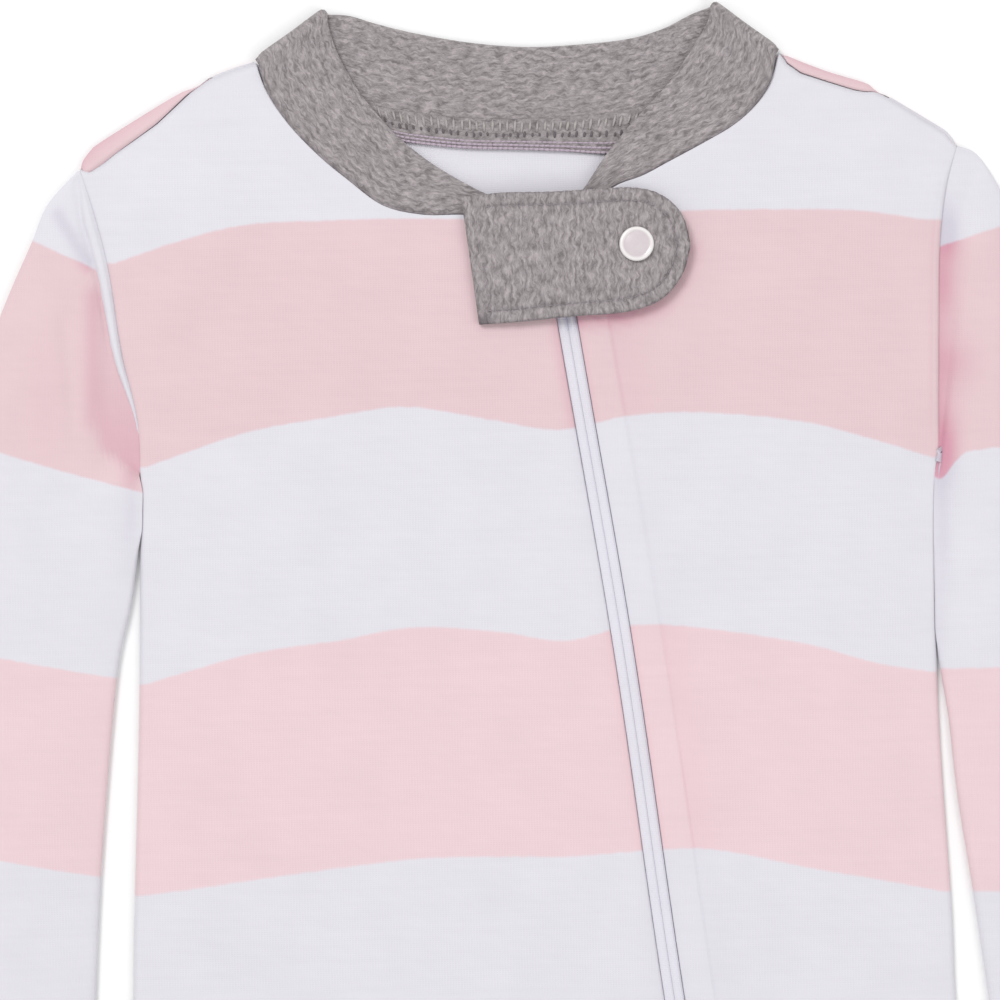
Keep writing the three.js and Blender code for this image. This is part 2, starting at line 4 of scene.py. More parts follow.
import bmesh
import bpy
from bpy.props import FloatProperty, FloatVectorProperty, PointerProperty
from mathutils import Matrix, Vector


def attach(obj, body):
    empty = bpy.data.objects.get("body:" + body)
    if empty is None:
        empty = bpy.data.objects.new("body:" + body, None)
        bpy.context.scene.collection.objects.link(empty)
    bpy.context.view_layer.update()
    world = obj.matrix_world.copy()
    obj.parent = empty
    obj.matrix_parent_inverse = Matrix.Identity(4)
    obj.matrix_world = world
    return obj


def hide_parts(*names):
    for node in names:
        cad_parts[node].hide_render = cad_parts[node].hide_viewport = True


bl_info = {
    "name": "Footed baby sleepsuit",
    "version": (1, 0, 0),
    "blender": (4, 5, 0),
    "location": "3D View > Sidebar > Sleepsuit",
    "description": "Dresses the sleepsuit's model in striped jersey, ribbing, zip and snap",
    "category": "Object",
}

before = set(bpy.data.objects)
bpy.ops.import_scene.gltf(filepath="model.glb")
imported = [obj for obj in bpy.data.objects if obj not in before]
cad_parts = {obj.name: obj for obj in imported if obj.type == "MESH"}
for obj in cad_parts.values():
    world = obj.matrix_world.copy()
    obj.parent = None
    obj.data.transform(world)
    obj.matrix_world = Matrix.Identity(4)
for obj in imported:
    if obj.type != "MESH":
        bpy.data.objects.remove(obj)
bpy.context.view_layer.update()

# Tables and named places are in millimetres, from the back neck point, as in the part's source
MM = 0.001
NECK_Y = 272.1
CLOTH = 1.2
GAP = 0.3
BODY_LOFT = 2.3
LOFT_EDGE = 34.0
SLEEVE_LOFT = 2.1
SLEEVE_LOFT_EDGE = 20.0
ARMHOLE_BOTTOM = -88.0
SHOULDER_TOP = 1.0
CROTCH = -370.0
FORK_X = 0.5
ANKLE = -520.0
TOE = -590.0
FRONT_FLOOR = CLOTH + GAP
RIBBING = 2.2
BAND_FRONT_LOW = 2.5
ZIP_HALF = 3.0
HEM_REACH = 11.6       # how far the turned edge beside the zip reaches
ZIP_TOP = -21.5
TAB_WALL = 2.2
TAB_LOW = 5.3
TAB_RISE = 1.1
TAB_RISE_FROM = -15.0
TAB_RISE_TO = 3.0
TAB_STITCH_IN = 3.8   # the tab's topstitch, in from its edge
TAPE_WALL = 0.75
SNAP = (33.5, -25.6)
FOLD_LOW = 0.35       # lowest point of a folded side edge
SEAM_LOW = 2.42       # lowest point of the front's edge along an armhole
FOLD_WIDE = 2.1       # how far the fold's rounding reaches inwards
FOLD_STEPS = 8
TUCK = 0.8            # how far the sleeve's edge runs under the body's
NECK_GAP = 0.04       # between the neckband and the panels
SLEEVE_AT_SEAM = 2.35 # height of the sleeve where it meets the body
ROLL_WIDE = 4.1       # roll of the sleeve's edge over the left armhole
ROLL_HIGH = 1.5
BACK_INSET = 1.3      # the back panel stops short of the folded edge
SEAM_GAP = 0.08       # between the sleeve and the body

SIDE_COLUMNS = ("y", "left", "right")
BODY_SIDES = [
    (-370, -127.5, 128.5), (-330, -125.5, 126.5), (-290, -122.5, 123.5), (-247, -119.3, 120.8),
    (-222, -118.2, 120.4), (-160, -115, 118.1), (-110, -113.2, 118.8), (-88, -112.4, 120),
    (-72, -112.8, 120.4), (-53, -116.7, 121), (-28, -120, 122), (-11, -123.9, 124.3),
    (1, -127.5, 127.8),
]
LEG_COLUMNS = ("y", "leftOut", "leftIn", "rightIn", "rightOut")
LEG_SIDES = [
    (-590, -86, -66, 67, 87), (-587, -93, -57, 58, 94), (-580, -99, -48.5, 49.5, 100),
    (-565, -104, -40, 41, 105), (-545, -105.5, -34, 35, 106.5), (-520, -108, -28, 29, 109),
    (-500, -114, -24, 25, 115), (-470, -121, -18.5, 19.5, 122), (-440, -125.5, -13.5, 14.5, 126.5),
    (-410, -127.5, -8.5, 9.5, 128.5), (-385, -127.8, -4, 5, 128.8), (-370, -127.5, 0.5, 0.5, 128.5),
]
ZIP_LINE = [
    (-520, 73), (-470, 66.5), (-400, 60), (-340, 52), (-245, 38.7), (-140, 26.3), (-46.5, 12.9),
    (-12, 8.4),
]

# Neckband rows: seam x and y, free edge x and y
BAND_FRONT_RIGHT = [
    (6, -17.5, 6.3, -11.6), (-6, -16.3, -1.5, -10.9), (-17, -15.3, -8.4, -9.9),
    (-28, -15, -22.7, -1.7), (-39.5, -12, -33.7, 7), (-49.7, -4.1, -41, 15.2),
    (-58, 3.2, -46.6, 23), (-66.5, 12.6, -51.2, 32), (-72.3, 22, -53.8, 40),
    (-76.2, 31.2, -55.4, 46.2),
]
BAND_FRONT_LEFT = [
    (12.4, -20.5, 11.9, -14.5), (20.8, -14.2, 14.8, -12.6), (27.9, -8.3, 18.6, -8.9),
    (36, -5.4, 25, 0.2), (43.8, -1.5, 31.6, 8.1), (53.5, 3.4, 38, 14.8),
    (62.6, 8.4, 44.4, 21.4), (69, 13.8, 50.8, 30.2), (74, 21, 56, 38.4),
    (77.4, 29.4, 58.6, 45.2),
]
BAND_BACK = [
    (-76.2, 31.2, -55.4, 46.2), (-66, 25.6, -48, 43.8), (-52, 19.8, -40, 41.2),
    (-37.3, 15.4, -29, 38.2), (-19, 12.4, -13, 35), (0, 11.4, 3.2, 33.3),
    (19, 11.9, 19, 33.6), (34.6, 13.6, 33, 34.8), (50, 18, 43, 37.4),
    (65, 24, 51.5, 41.4), (77.4, 29.4, 58.6, 45.2),
]
BAND_FOLDS = [(-74.6, 30.3, -54.1, 44.3), (75.8, 29, 57.1, 43.4)]

SLEEVE_FOLD = {
    "left": [
        (-128.1, 1), (-137.2, -8.6), (-142.4, -20), (-149.5, -35), (-157, -53), (-166, -76),
        (-174.5, -101), (-182, -130), (-187.4, -165), (-189.8, -200), (-190.6, -232), (-190.4, -262),
    ],
    "right": [
        (128.1, 1), (132.6, -0.7), (136, -4.6), (139.6, -10.9), (143.8, -20), (150, -35), (157, -53),
        (166, -76), (174.5, -101), (182, -130), (187.4, -165), (189.8, -200), (190.6, -232),
        (190.4, -262),
    ],
}
SLEEVE_SEAM = {
    "left": [
        (-112.7, -88), (-113.05, -99), (-113.6, -109), (-116.2, -126), (-121, -147.5), (-126.8, -199.6),
        (-130, -243), (-131, -264),
    ],
    "right": [
        (120.3, -88), (118.95, -106), (118.45, -130), (118.4, -147), (120.8, -165), (122.8, -188),
        (126.8, -218), (130.2, -247), (131.5, -264),
    ],
}

# Soft troughs: from x, y to x, y, width and depth
FOLDS = [
    (-139, -16, -131, -60, 6, 0.5), (-131, -44, -124, -84, 7, 0.7),
    (-119, -66, -116, -104, 6, 0.8), (128, -40, 126, -112, 6, 0.8),
    (112, -152, 114, -206, 8, 0.6), (-109, -6, -110, -30, 5, 0.35),
    (-60, -330, -20, -372, 14, 0.8),
]
# Finer creases, raised where the depth is below nought
CREASES = [
    (-145, -18, -134, -34, 2.2, 0.55), (-132.5, -40, -131, -80, 2.6, 0.6),
    (-126, -70, -122.5, -84, 3.2, 0.9), (-137, -88, -124, -96, 2.0, -0.45),
    (-136, -44, -134, -78, 2.2, -0.3), (-150, -110, -134, -150, 7, 0.35),
    (150, -60, 158, -130, 8, 0.4), (140, -150, 150, -220, 7, 0.35),
    (-70, -470, -58, -518, 8, 0.5), (74, -300, 90, -380, 14, 0.5),
    (-112, -250, -96, -330, 12, 0.45), (-24, -400, -50, -450, 9, 0.4),
    (30, -400, 44, -452, 9, 0.4), (0, -250, -30, -330, 18, 0.4),
    (60, -20, 84, -34, 9, 0.3), (-70, -24, -92, -52, 10, 0.3),
]

# Shoulder seams: tip and neck
SHOULDERS = {"left": (-127.5, 1, -76.2, 31.2), "right": (127.8, 1, 77.4, 29.4)}
# From the tip to the neck: share, bow of the front's edge, bow of the outline where the back rolls over
SHOULDER_BOWS = {
    "left": [
        (0, -0.4, 0.2), (0.04, -1.2, 2.2), (0.11, -1.2, 3.7), (0.19, -0.64, 3.9), (0.39, 0, 3.9),
        (0.44, 0.2, 3.9), (0.55, 1.45, 3.8), (0.66, 2.7, 3.5), (0.77, 3.1, 3.12), (0.9, 1.6, 1.62),
        (1, 0, 0.02),
    ],
    "right": [
        (0, 0, 0.02), (0.03, 1.4, 1.42), (0.083, 2.6, 2.62), (0.32, 3.4, 3.42), (0.42, 3.7, 3.72),
        (0.49, 3.5, 3.9), (0.53, 2.1, 4.0), (0.58, 1.05, 3.7), (0.64, 0.3, 2.9), (0.745, -0.9, 1.7),
        (0.864, -2.2, 0.8), (0.95, -1.6, 0.3), (1, 0, 0.02),
    ],
}
# Painted shade in the hollows beside the armholes: x, y, half width, half height, strength of the painted
# shade
PAINTED_HOLLOW_SHADE = {
    "left": [
        (-115.5, -101, 2.6, 10, 0.4), (-114.8, -88.5, 2.6, 2.6, 0.35), (-139, -66, 6, 20, 0.07),
    ],
    "right": [
        (124.4, -24, 3.4, 7, 0.85), (123, -39.5, 3.4, 8, 0.35), (125.5, -62, 6.5, 6.5, 0.34),
        (122.4, -87, 3.2, 9, 0.5), (120.4, -110, 2.8, 18, 0.5), (118.6, -138, 2.0, 16, 0.3),
    ],
}

TAB_LOWER = [(-12.6, -47.5), (0, -47), (15, -45.9), (30.4, -45), (40.2, -41.8), (46.4, -35), (49.2, -26.4)]
TAB_UPPER = [
    (-16.8, -10.3), (-6, -9.6), (8, -9.7), (20, -9.4), (33.1, -9.2), (41.2, -11.6),
    (47, -17.6), (49.2, -26.4),
]

# Overlocked allowance of the back neck, along its seam and along its raw edge
OVERLOCK_TOP = [(-40.5, 18.2), (-37.3, 16.8), (-19, 13.7), (-2.6, 12.6), (16, 12.8), (34.6, 14.9), (40, 16.6)]
OVERLOCK_LOW = [(-38, 8.6), (-32.9, 6.6), (-16, 4.3), (-1.9, 3.5), (12, 2.6), (28.2, 1.3), (36, 2.6)]
OVERLOCK_ENDS = ((-47, 18.6), (-44, 10), (46, 18.6), (41, 4))
OVERLOCK_BASE = 1.2
OVERLOCK_WALL = 1.1
OVERLOCK_WIDE = 7.8

# Below each armhole the sleeve leans on the body, and parts from it between these depths
LEANS = {"left": (103, 114), "right": (138, 152)}

STRIPE = 64
FOOT_PHASE = 8.4
# Heights of the front's stripe edges at the crest, and how far each dips at these places. The first four
# edges here and on each sleeve, with their dips and slopes, were measured in the photograph by a program
# and not charted by eye, which the report names as a fault. The edges below those are a guess.
FRONT_EDGES = [-16, -70.5, -134.7, -201.3, -265, -329, -393, -457, -521, -650]
FRONT_DIPS = [
    (-118, -10.5, -18, -16, -9.5, -10, -6), (-100, -5, -12, -11, -7.5, -7.5, -4),
    (-80, -0.6, -6, -6, -5, -5, -2), (-55, 0, -2.2, -3, -2.3, -2.5, -1),
    (-35, 0, 0, 0, -0.5, -0.5, 0), (-10, -1, -4.5, -1.8, -0.5, -1, 0),
    (10, -2, -8, -5, -1, -2, 0), (30, -1, -4.5, -1, 0, -0.5, 0),
    (50, 0, -4, -2.5, 0, -1, 0), (80, -0.5, -7.5, -8, -6.5, -6, -2),
    (100, -1.5, -13, -14, -10.5, -9.5, -4), (118, -4.5, -19, -17.5, -14.5, -12, -6),
]
NO_DIPS = [(-118, 0), (118, 0)]
BACK_EDGES = [62, -2, -66, -130, -194, -258, -322, -386, -450, -514, -578, -642]
SLEEVE_EDGES = {
    "left": [-26, -88.6, -145.7, -204.6, -262.5, -320],
    "right": [-26.5, -88, -151, -216, -280, -340],
}
SLEEVE_SLOPES = {
    "left": [(-300, 0.2), (-145, 0.2), (-85, 0.31), (-22, 0.49), (20, 0.49)],
    "right": [(-300, 0.0), (-151, 0.0), (-88, 0.1), (-26, 0.3), (20, 0.3)],
}


def clamp(value, low=0.0, high=1.0):
    return max(low, min(high, value))


def lerp(a, b, t):
    return a + (b - a) * t


def smooth(value, low, high):
    t = clamp((value - low) / (high - low))
    return t * t * (3 - 2 * t)


def steps(low, high, count):
    return [lerp(low, high, i / count) for i in range(count + 1)]


def straight(table, value):
    """Value on straight lines through pairs that climb"""
    if value <= table[0][0]:
        return table[0][1]
    for (a, low), (b, high) in zip(table, table[1:]):
        if value <= b:
            return lerp(low, high, (value - a) / (b - a))
    return table[-1][1]


def column(rows, index, y):
    """Value of a column at a height, on a smooth curve through the rows"""
    last = len(rows) - 1
    i = 0
    while i < last - 1 and y > rows[i + 1][0]:
        i += 1
    before, a, b, after = rows[max(i - 1, 0)], rows[i], rows[i + 1], rows[min(i + 2, last)]
    span = b[0] - a[0]
    t = clamp((y - a[0]) / span)
    slope_a = (b[index] - before[index]) / (b[0] - before[0]) * span
    slope_b = (after[index] - a[index]) / (after[0] - a[0]) * span
    t2, t3 = t * t, t * t * t
    return (
        (2 * t3 - 3 * t2 + 1) * a[index] + (t3 - 2 * t2 + t) * slope_a
        + (3 * t2 - 2 * t3) * b[index] + (t3 - t2) * slope_b
    )


def side(name, y):
    return column(BODY_SIDES, SIDE_COLUMNS.index(name), y)


def leg_side(name, y):
    return column(LEG_SIDES, LEG_COLUMNS.index(name), y)


def zip_x(y):
    return column(ZIP_LINE, 1, y)


def along(points, count):
    """Evenly spaced points on a smooth curve through a list of points of any length"""
    fine = []
    last = len(points) - 1
    for i in range(last):
        p0, p1, p2, p3 = points[max(i - 1, 0)], points[i], points[i + 1], points[min(i + 2, last)]
        for k in range(24):
            t = k / 24
            t2, t3 = t * t, t * t * t
            fine.append([
                0.5 * (2 * b + (c - a) * t + (2 * a - 5 * b + 4 * c - d) * t2
                       + (3 * b - a - 3 * c + d) * t3)
                for a, b, c, d in zip(p0, p1, p2, p3)
            ])
    fine.append(list(points[last]))
    lengths = [0.0]
    for a, b in zip(fine, fine[1:]):
        lengths.append(lengths[-1] + math.dist(a[:2], b[:2]))
    spaced = []
    k = 0
    for want in steps(0, lengths[-1], count):
        while k < len(fine) - 2 and lengths[k + 1] < want:
            k += 1
        t = clamp((want - lengths[k]) / max(lengths[k + 1] - lengths[k], 1e-9))
        spaced.append([lerp(a, b, t) for a, b in zip(fine[k], fine[k + 1])])
    return spaced


def between(a, b, t):
    return [lerp(p, q, t) for p, q in zip(a, b)]


def shifted(edge, distance):
    """The same edge moved sideways, to its left as it runs"""
    moved = []
    for i, p in enumerate(edge):
        before, after = edge[max(i - 1, 0)], edge[min(i + 1, len(edge) - 1)]
        dx, dy = after[0] - before[0], after[1] - before[1]
        length = math.hypot(dx, dy) or 1
        moved.append([p[0] - dy / length * distance, p[1] + dx / length * distance])
    return moved


def off_line(x, y, line):
    """Distance from a point to a straight line"""
    x0, y0, x1, y1 = line[:4]
    dx, dy = x1 - x0, y1 - y0
    t = clamp(((x - x0) * dx + (y - y0) * dy) / (dx * dx + dy * dy))
    return math.hypot(x - x0 - t * dx, y - y0 - t * dy)


def fold_depth(x, y):
    return sum(f[5] * math.exp(-((off_line(x, y, f) / f[4]) ** 2)) for f in FOLDS)


def crease_depth(x, y):
    return sum(f[5] * math.exp(-((off_line(x, y, f) / f[4]) ** 2)) for f in CREASES)


def shoulder_distance(seam, x, y):
    dx, dy = seam[2] - seam[0], seam[3] - seam[1]
    across = dx * (y - seam[1]) - dy * (x - seam[0])
    return -math.copysign(1, dx) * across / math.hypot(dx, dy)


def edge_distance(x, y):
    """Distance inwards from the nearest edge of the body, a leg or a foot"""
    if y >= CROTCH:
        height = min(y, SHOULDER_TOP)
        return max(0.0, min(
            x - side("left", height), side("right", height) - x,
            math.hypot(x - FORK_X, y - CROTCH),
            *(shoulder_distance(seam, x, y) for seam in SHOULDERS.values()),
        ))
    out, inner = ("leftOut", "leftIn") if x < FORK_X else ("rightOut", "rightIn")
    return max(0.0, min(abs(leg_side(out, y) - x), abs(leg_side(inner, y) - x), y - TOE))


def front_under(x, y):
    round_up = math.sin(math.pi / 2 * min(edge_distance(x, y) / LOFT_EDGE, 1))
    at_neck = 1 - 0.25 * smooth(y, -60, 20)
    at_foot = 1 - 0.15 * smooth(-y, 440, 520)
    lift = round_up * (BODY_LOFT * at_neck * at_foot - fold_depth(x, y))
    return FRONT_FLOOR + max(lift, 0)


def soft_waves(x, y):
    """Slow unevenness of cloth that lies loose"""
    return (
        0.16 * math.sin(x / 21 + 1.7 * math.sin(y / 57)) * math.sin(y / 33 + 0.6)
        + 0.1 * math.sin(x / 9.5 + y / 41 + 2) * math.sin(y / 16 - x / 60)
    )


def front_over(x, y):
    """Height of the front's upper face"""
    edge = edge_distance(x, y)
    height = front_under(x, y) + CLOTH
    height += smooth(edge, 0, 14) * (soft_waves(x, y) - crease_depth(x, y))
    if y > ANKLE and x > 0:
        # The turned edge beside the zip is doubled, and ends in a step
        off = x - zip_x(min(y, ZIP_TOP))
        if off > 0:
            height += 0.36 * (1 - smooth(off, HEM_REACH - 0.3, HEM_REACH + 0.4))
        height -= 0.35 * (1 - smooth(abs(off), ZIP_HALF - 0.2, ZIP_HALF + 2.8))
    if y > ARMHOLE_BOTTOM and x > 0:
        # The right armhole's edge stands over the sleeve
        height += 1.1 * (1 - smooth(side("right", min(y, SHOULDER_TOP)) - x, 0, 16)) * armhole_share(y)
    elif y > ARMHOLE_BOTTOM:
        height += 0.5 * (1 - smooth(x - side("left", min(y, SHOULDER_TOP)), 0, 12)) * armhole_share(y)
    return height


def at_armhole(y):
    return smooth(y, ARMHOLE_BOTTOM - 8, ARMHOLE_BOTTOM + 2)


def armhole_share(y):
    return smooth(y, ARMHOLE_BOTTOM - 2, ARMHOLE_BOTTOM + 14) * (1 - smooth(y, -12, 0))


def stripe_phase(edges, dips, x, y):
    """Number of stripe edges above a point, growing evenly between two edges"""
    last = len(dips[0]) - 1
    above = edges[0] + column(dips, 1, x)
    if y >= above:
        return (above - y) / STRIPE
    for i, edge in enumerate(edges[1:]):
        level = edge + column(dips, min(i + 2, last), x)
        if y >= level:
            return i + (above - y) / (above - level)
        above = level
    return len(edges) - 1 + (above - y) / STRIPE


def front_phase(x, y):
    phase = stripe_phase(FRONT_EDGES, FRONT_DIPS, x, y)
    return max(phase, FOOT_PHASE) if y < ANKLE - GAP / 2 else min(phase, 7.9)


def back_phase(x, y):
    return stripe_phase(BACK_EDGES, NO_DIPS, x, y) + 0.02 * math.sin(x / 40)


def sleeve_phase(name, x, y):
    slope = straight(SLEEVE_SLOPES[name], y)
    shift = (x + 128) * slope if name == "left" else (128 - x) * slope
    if name == "right":
        # Beside the body the stripe edges are drawn lower, as painted shade for the deep pink of the fold
        # there
        beside = x - side("right", clamp(y, ARMHOLE_BOTTOM, SHOULDER_TOP))
        shift += 7 * math.exp(-((beside / 4.5) ** 2)) * smooth(-y, 60, 80) * smooth(y, -125, -95)
    return stripe_phase(SLEEVE_EDGES[name], NO_DIPS, x, y + shift)


# Materials

class Shader:
    """A Principled material and short calls that add its nodes"""

    def __init__(self, name, **sockets):
        self.material = bpy.data.materials.new(name)
        self.material.use_nodes = True
        self.tree = self.material.node_tree
        self.surface = self.tree.nodes["Principled BSDF"]
        for socket, value in sockets.items():
            self.surface.inputs[socket.replace("_", " ").title().replace("Ior", "IOR")].default_value = value

    def add(self, kind, inputs=None, output=0, **settings):
        made = self.tree.nodes.new("ShaderNode" + kind)
        for key, value in settings.items():
            setattr(made, key, value)
        for key, value in (inputs or {}).items():
            self.put(value, made.inputs[key])
        return made.outputs[output]

    def put(self, value, socket):
        if isinstance(value, bpy.types.NodeSocket):
            self.tree.links.new(value, socket)
        else:
            socket.default_value = value

    def math(self, operation, a, b=0.0, clamped=False):
        return self.add("Math", {0: a, 1: b}, operation=operation, use_clamp=clamped)

    def mix(self, share, a, b, blend="MIX"):
        return self.add("Mix", {0: share, 6: a, 7: b}, 2, data_type="RGBA", blend_type=blend)

    def noise(self, vector, scale, detail=2.0, roughness=0.5):
        inputs = {"Vector": vector, "Scale": scale, "Detail": detail, "Roughness": roughness}
        return self.add("TexNoise", inputs)

    def spread(self, value, low, high, to_low=0.0, to_high=1.0):
        return self.add("MapRange", {0: value, 1: low, 2: high, 3: to_low, 4: to_high})

    def place(self):
        return self.add("TexCoord", output="Object")

    def cloth_map(self):
        split = self.tree.nodes.new("ShaderNodeSeparateXYZ")
        self.put(self.add("UVMap", uv_map="cloth"), split.inputs[0])
        return split.outputs[0], split.outputs[1]

    def vector(self, x, y, z=0.0):
        return self.add("CombineXYZ", {0: x, 1: y, 2: z})

    def scaled(self, vector, size):
        return self.add("Mapping", {"Vector": vector, "Scale": size})

    def grey(self, value):
        return self.add("CombineColor", {0: value, 1: value, 2: value})

    def finish(self, colour, height=None, depth=0.0001, strength=1.0, roughness=None):
        self.put(colour, self.surface.inputs["Base Color"])
        if roughness is not None:
            self.put(roughness, self.surface.inputs["Roughness"])
        if height is not None:
            bump = self.add("Bump", {"Strength": strength, "Distance": depth, "Height": height})
            self.put(bump, self.surface.inputs["Normal"])
        return self.material


def knit_height(shader, place, across=0.8, tall=0.62):
    """Rows of small V stitches, from the piece's own place"""
    split = shader.tree.nodes.new("ShaderNodeSeparateXYZ")
    shader.put(place, split.inputs[0])
    x = shader.math("MULTIPLY", split.outputs[0], 1000 * 2 * math.pi / across)
    wale = shader.math("ABSOLUTE", shader.math("SINE", shader.math("MULTIPLY", x, 0.5)))
    lean = shader.math("MULTIPLY", shader.math("COSINE", x), 0.9)
    y = shader.math("MULTIPLY", split.outputs[1], 1000 * 2 * math.pi / tall)
    course = shader.math("SINE", shader.math("ADD", y, lean))
    return shader.math("MULTIPLY", shader.math("ADD", course, 1.4), wale)


def jersey(name, striped=True, tint=1.0):
    cloth = bpy.context.scene.sleepsuit_cloth
    shader = Shader(name, roughness=0.92, sheen_weight=0.3, sheen_roughness=0.5, specular_ior_level=0.2)
    place = shader.place()
    white = (*[c * tint for c in cloth.white], 1)
    pink = (*[c * tint for c in cloth.pink], 1)
    phase = shader.cloth_map()[1]
    if striped:
        waver = shader.noise(shader.scaled(place, (1, 1, 0)), 420, 3)
        phase = shader.math("ADD", phase, shader.spread(waver, 0, 1, -0.006, 0.006))
        wave = shader.math("SINE", shader.math("MULTIPLY", phase, math.pi))
        share = shader.math("ADD", shader.math("DIVIDE", wave, 0.045), 0.5, clamped=True)
        height_on_body = shader.tree.nodes.new("ShaderNodeSeparateXYZ")
        shader.put(place, height_on_body.inputs[0])
        # The pink turns paler further down the body
        lower_pink_share = shader.spread(height_on_body.outputs[1], 0.19, 0.12)
        pink_here = shader.mix(lower_pink_share, pink, (*[c * tint for c in cloth.pink_low], 1))
        colour = shader.mix(share, white, pink_here)
    else:
        colour = white
    mottle = shader.noise(place, 78, 3)
    streak = shader.noise(shader.scaled(place, (40, 620, 40)), 1, 2)
    mottled = shader.spread(mottle, 0.2, 0.8, 0.975, 1.015)
    streaked = shader.spread(streak, 0.2, 0.8, -0.014, 0.014)
    tone = shader.math("ADD", mottled, streaked)
    colour = shader.mix(1.0, colour, shader.grey(tone), "MULTIPLY")
    # Painted shade: the vertex attribute darkens the jersey towards the white shade tint in white stripes and
    # the pink shade tint in pink stripes
    wear_and_painted_shade = shader.add("Attribute", output="Fac", attribute_name="painted_shade")
    deep = (*cloth.white_painted_shade, 1)
    if striped:
        deep = shader.mix(share, deep, (*cloth.pink_painted_shade, 1))
    colour = shader.mix(wear_and_painted_shade, colour, deep, "MULTIPLY")
    knit = knit_height(shader, place)
    fuzz = shader.noise(place, 2600, 2)
    height = shader.math("ADD", shader.math("MULTIPLY", knit, 0.5), shader.math("MULTIPLY", fuzz, 0.6))
    return shader.finish(colour, height, 0.00012, 0.35)


def heather(name, dark=1.0):
    """Grey marl: pale and dark fibres drawn out along the ribbon"""
    cloth = bpy.context.scene.sleepsuit_cloth
    shader = Shader(name, roughness=0.95, sheen_weight=0.25, sheen_roughness=0.5, specular_ior_level=0.15)
    place = shader.place()
    along_it, across = shader.cloth_map()
    flat = shader.vector(along_it, across)
    bent = shader.noise(flat, 0.35, 2)
    slant = shader.vector(
        shader.math("MULTIPLY", along_it, 0.30),
        shader.math("ADD", shader.math("MULTIPLY", across, 0.95), shader.math("MULTIPLY", bent, 3)),
    )
    fleck = shader.noise(slant, 1.0, 4, 0.66)
    drawn_out = shader.vector(shader.math("MULTIPLY", along_it, 1.1), shader.math("MULTIPLY", across, 3.4))
    fine = shader.noise(drawn_out, 1.0, 3)
    cloud = shader.noise(flat, 0.13, 2)
    base = tuple(c * dark for c in cloth.grey)
    deep = (*[c * 0.57 for c in base], 1)
    pale = (*[min(c * 1.41, 1) for c in base], 1)
    colour = shader.mix(shader.spread(fleck, 0.34, 0.66), deep, pale)
    specks = shader.spread(fine, 0.25, 0.75, 0.88, 1.12)
    clouds = shader.spread(cloud, 0.3, 0.7, -0.05, 0.05)
    tone = shader.math("ADD", specks, clouds)
    colour = shader.mix(1.0, colour, shader.grey(tone), "MULTIPLY")
    # Painted shade: the vertex attribute darkens the heather along the band's seam, the tab's topstitch
    # groove, corner and edges, and the allowance's lower edge
    wear_and_painted_shade = shader.add("Attribute", output="Fac", attribute_name="painted_shade")
    colour = shader.mix(wear_and_painted_shade, colour, (*cloth.grey_painted_shade, 1), "MULTIPLY")
    wave = shader.math("SINE", shader.math("MULTIPLY", across, 2 * math.pi / 0.8))
    height = shader.math("ADD", shader.math("MULTIPLY", wave, 0.25), shader.math("MULTIPLY", fine, 1.6))
    height = shader.math("ADD", height, shader.math("MULTIPLY", shader.noise(place, 2400, 2), 0.6))
    return shader.finish(colour, height, 0.00022, 0.6)


def thread(name, colour, contrast=0.12):
    shader = Shader(name, roughness=0.7, sheen_weight=0.2, specular_ior_level=0.3)
    place = shader.place()
    twist = shader.noise(place, 2400, 2)
    tone = shader.spread(twist, 0.25, 0.75, 1 - contrast, 1 + contrast)
    return shader.finish(shader.mix(1.0, (*colour, 1), shader.grey(tone), "MULTIPLY"), twist, 0.00008, 0.5)


def tape_material():
    cloth = bpy.context.scene.sleepsuit_cloth
    shader = Shader("zip_tape_weave", roughness=0.8, sheen_weight=0.15, specular_ior_level=0.3)
    place = shader.place()
    along_it, across = shader.cloth_map()
    rib = shader.math("SINE", shader.math("MULTIPLY", along_it, 2 * math.pi / 0.55))
    cord = shader.math("SINE", shader.math("MULTIPLY", across, 2 * math.pi / 0.7))
    uneven = shader.spread(shader.noise(place, 90, 2), 0.2, 0.8, -0.02, 0.02)
    tone = shader.math("ADD", shader.spread(rib, -1, 1, 0.97, 1.01), uneven)
    colour = shader.mix(1.0, (*cloth.tape, 1), shader.grey(tone), "MULTIPLY")
    # Painted shade: the vertex attribute darkens the tape in its groove, beside the cloth's edge and in a
    # painted shadow under the tab
    wear_and_painted_shade = shader.add("Attribute", output="Fac", attribute_name="painted_shade")
    colour = shader.mix(wear_and_painted_shade, colour, (*cloth.tape_painted_shade, 1), "MULTIPLY")
    return shader.finish(colour, shader.math("ADD", rib, cord), 0.00006, 0.5)


def nylon_material():
    cloth = bpy.context.scene.sleepsuit_cloth
    shader = Shader("coil_nylon", roughness=0.42, coat_weight=0.1)
    place = shader.place()
    tone = shader.spread(shader.noise(place, 300, 2), 0.2, 0.8, 0.96, 1.03)
    colour = shader.mix(1.0, (*cloth.tape, 1), shader.grey(tone), "MULTIPLY")
    gloss = shader.spread(tone, 0.96, 1.03, 0.36, 0.5)
    return shader.finish(colour, shader.noise(place, 1500, 2), 0.00003, 0.4, gloss)


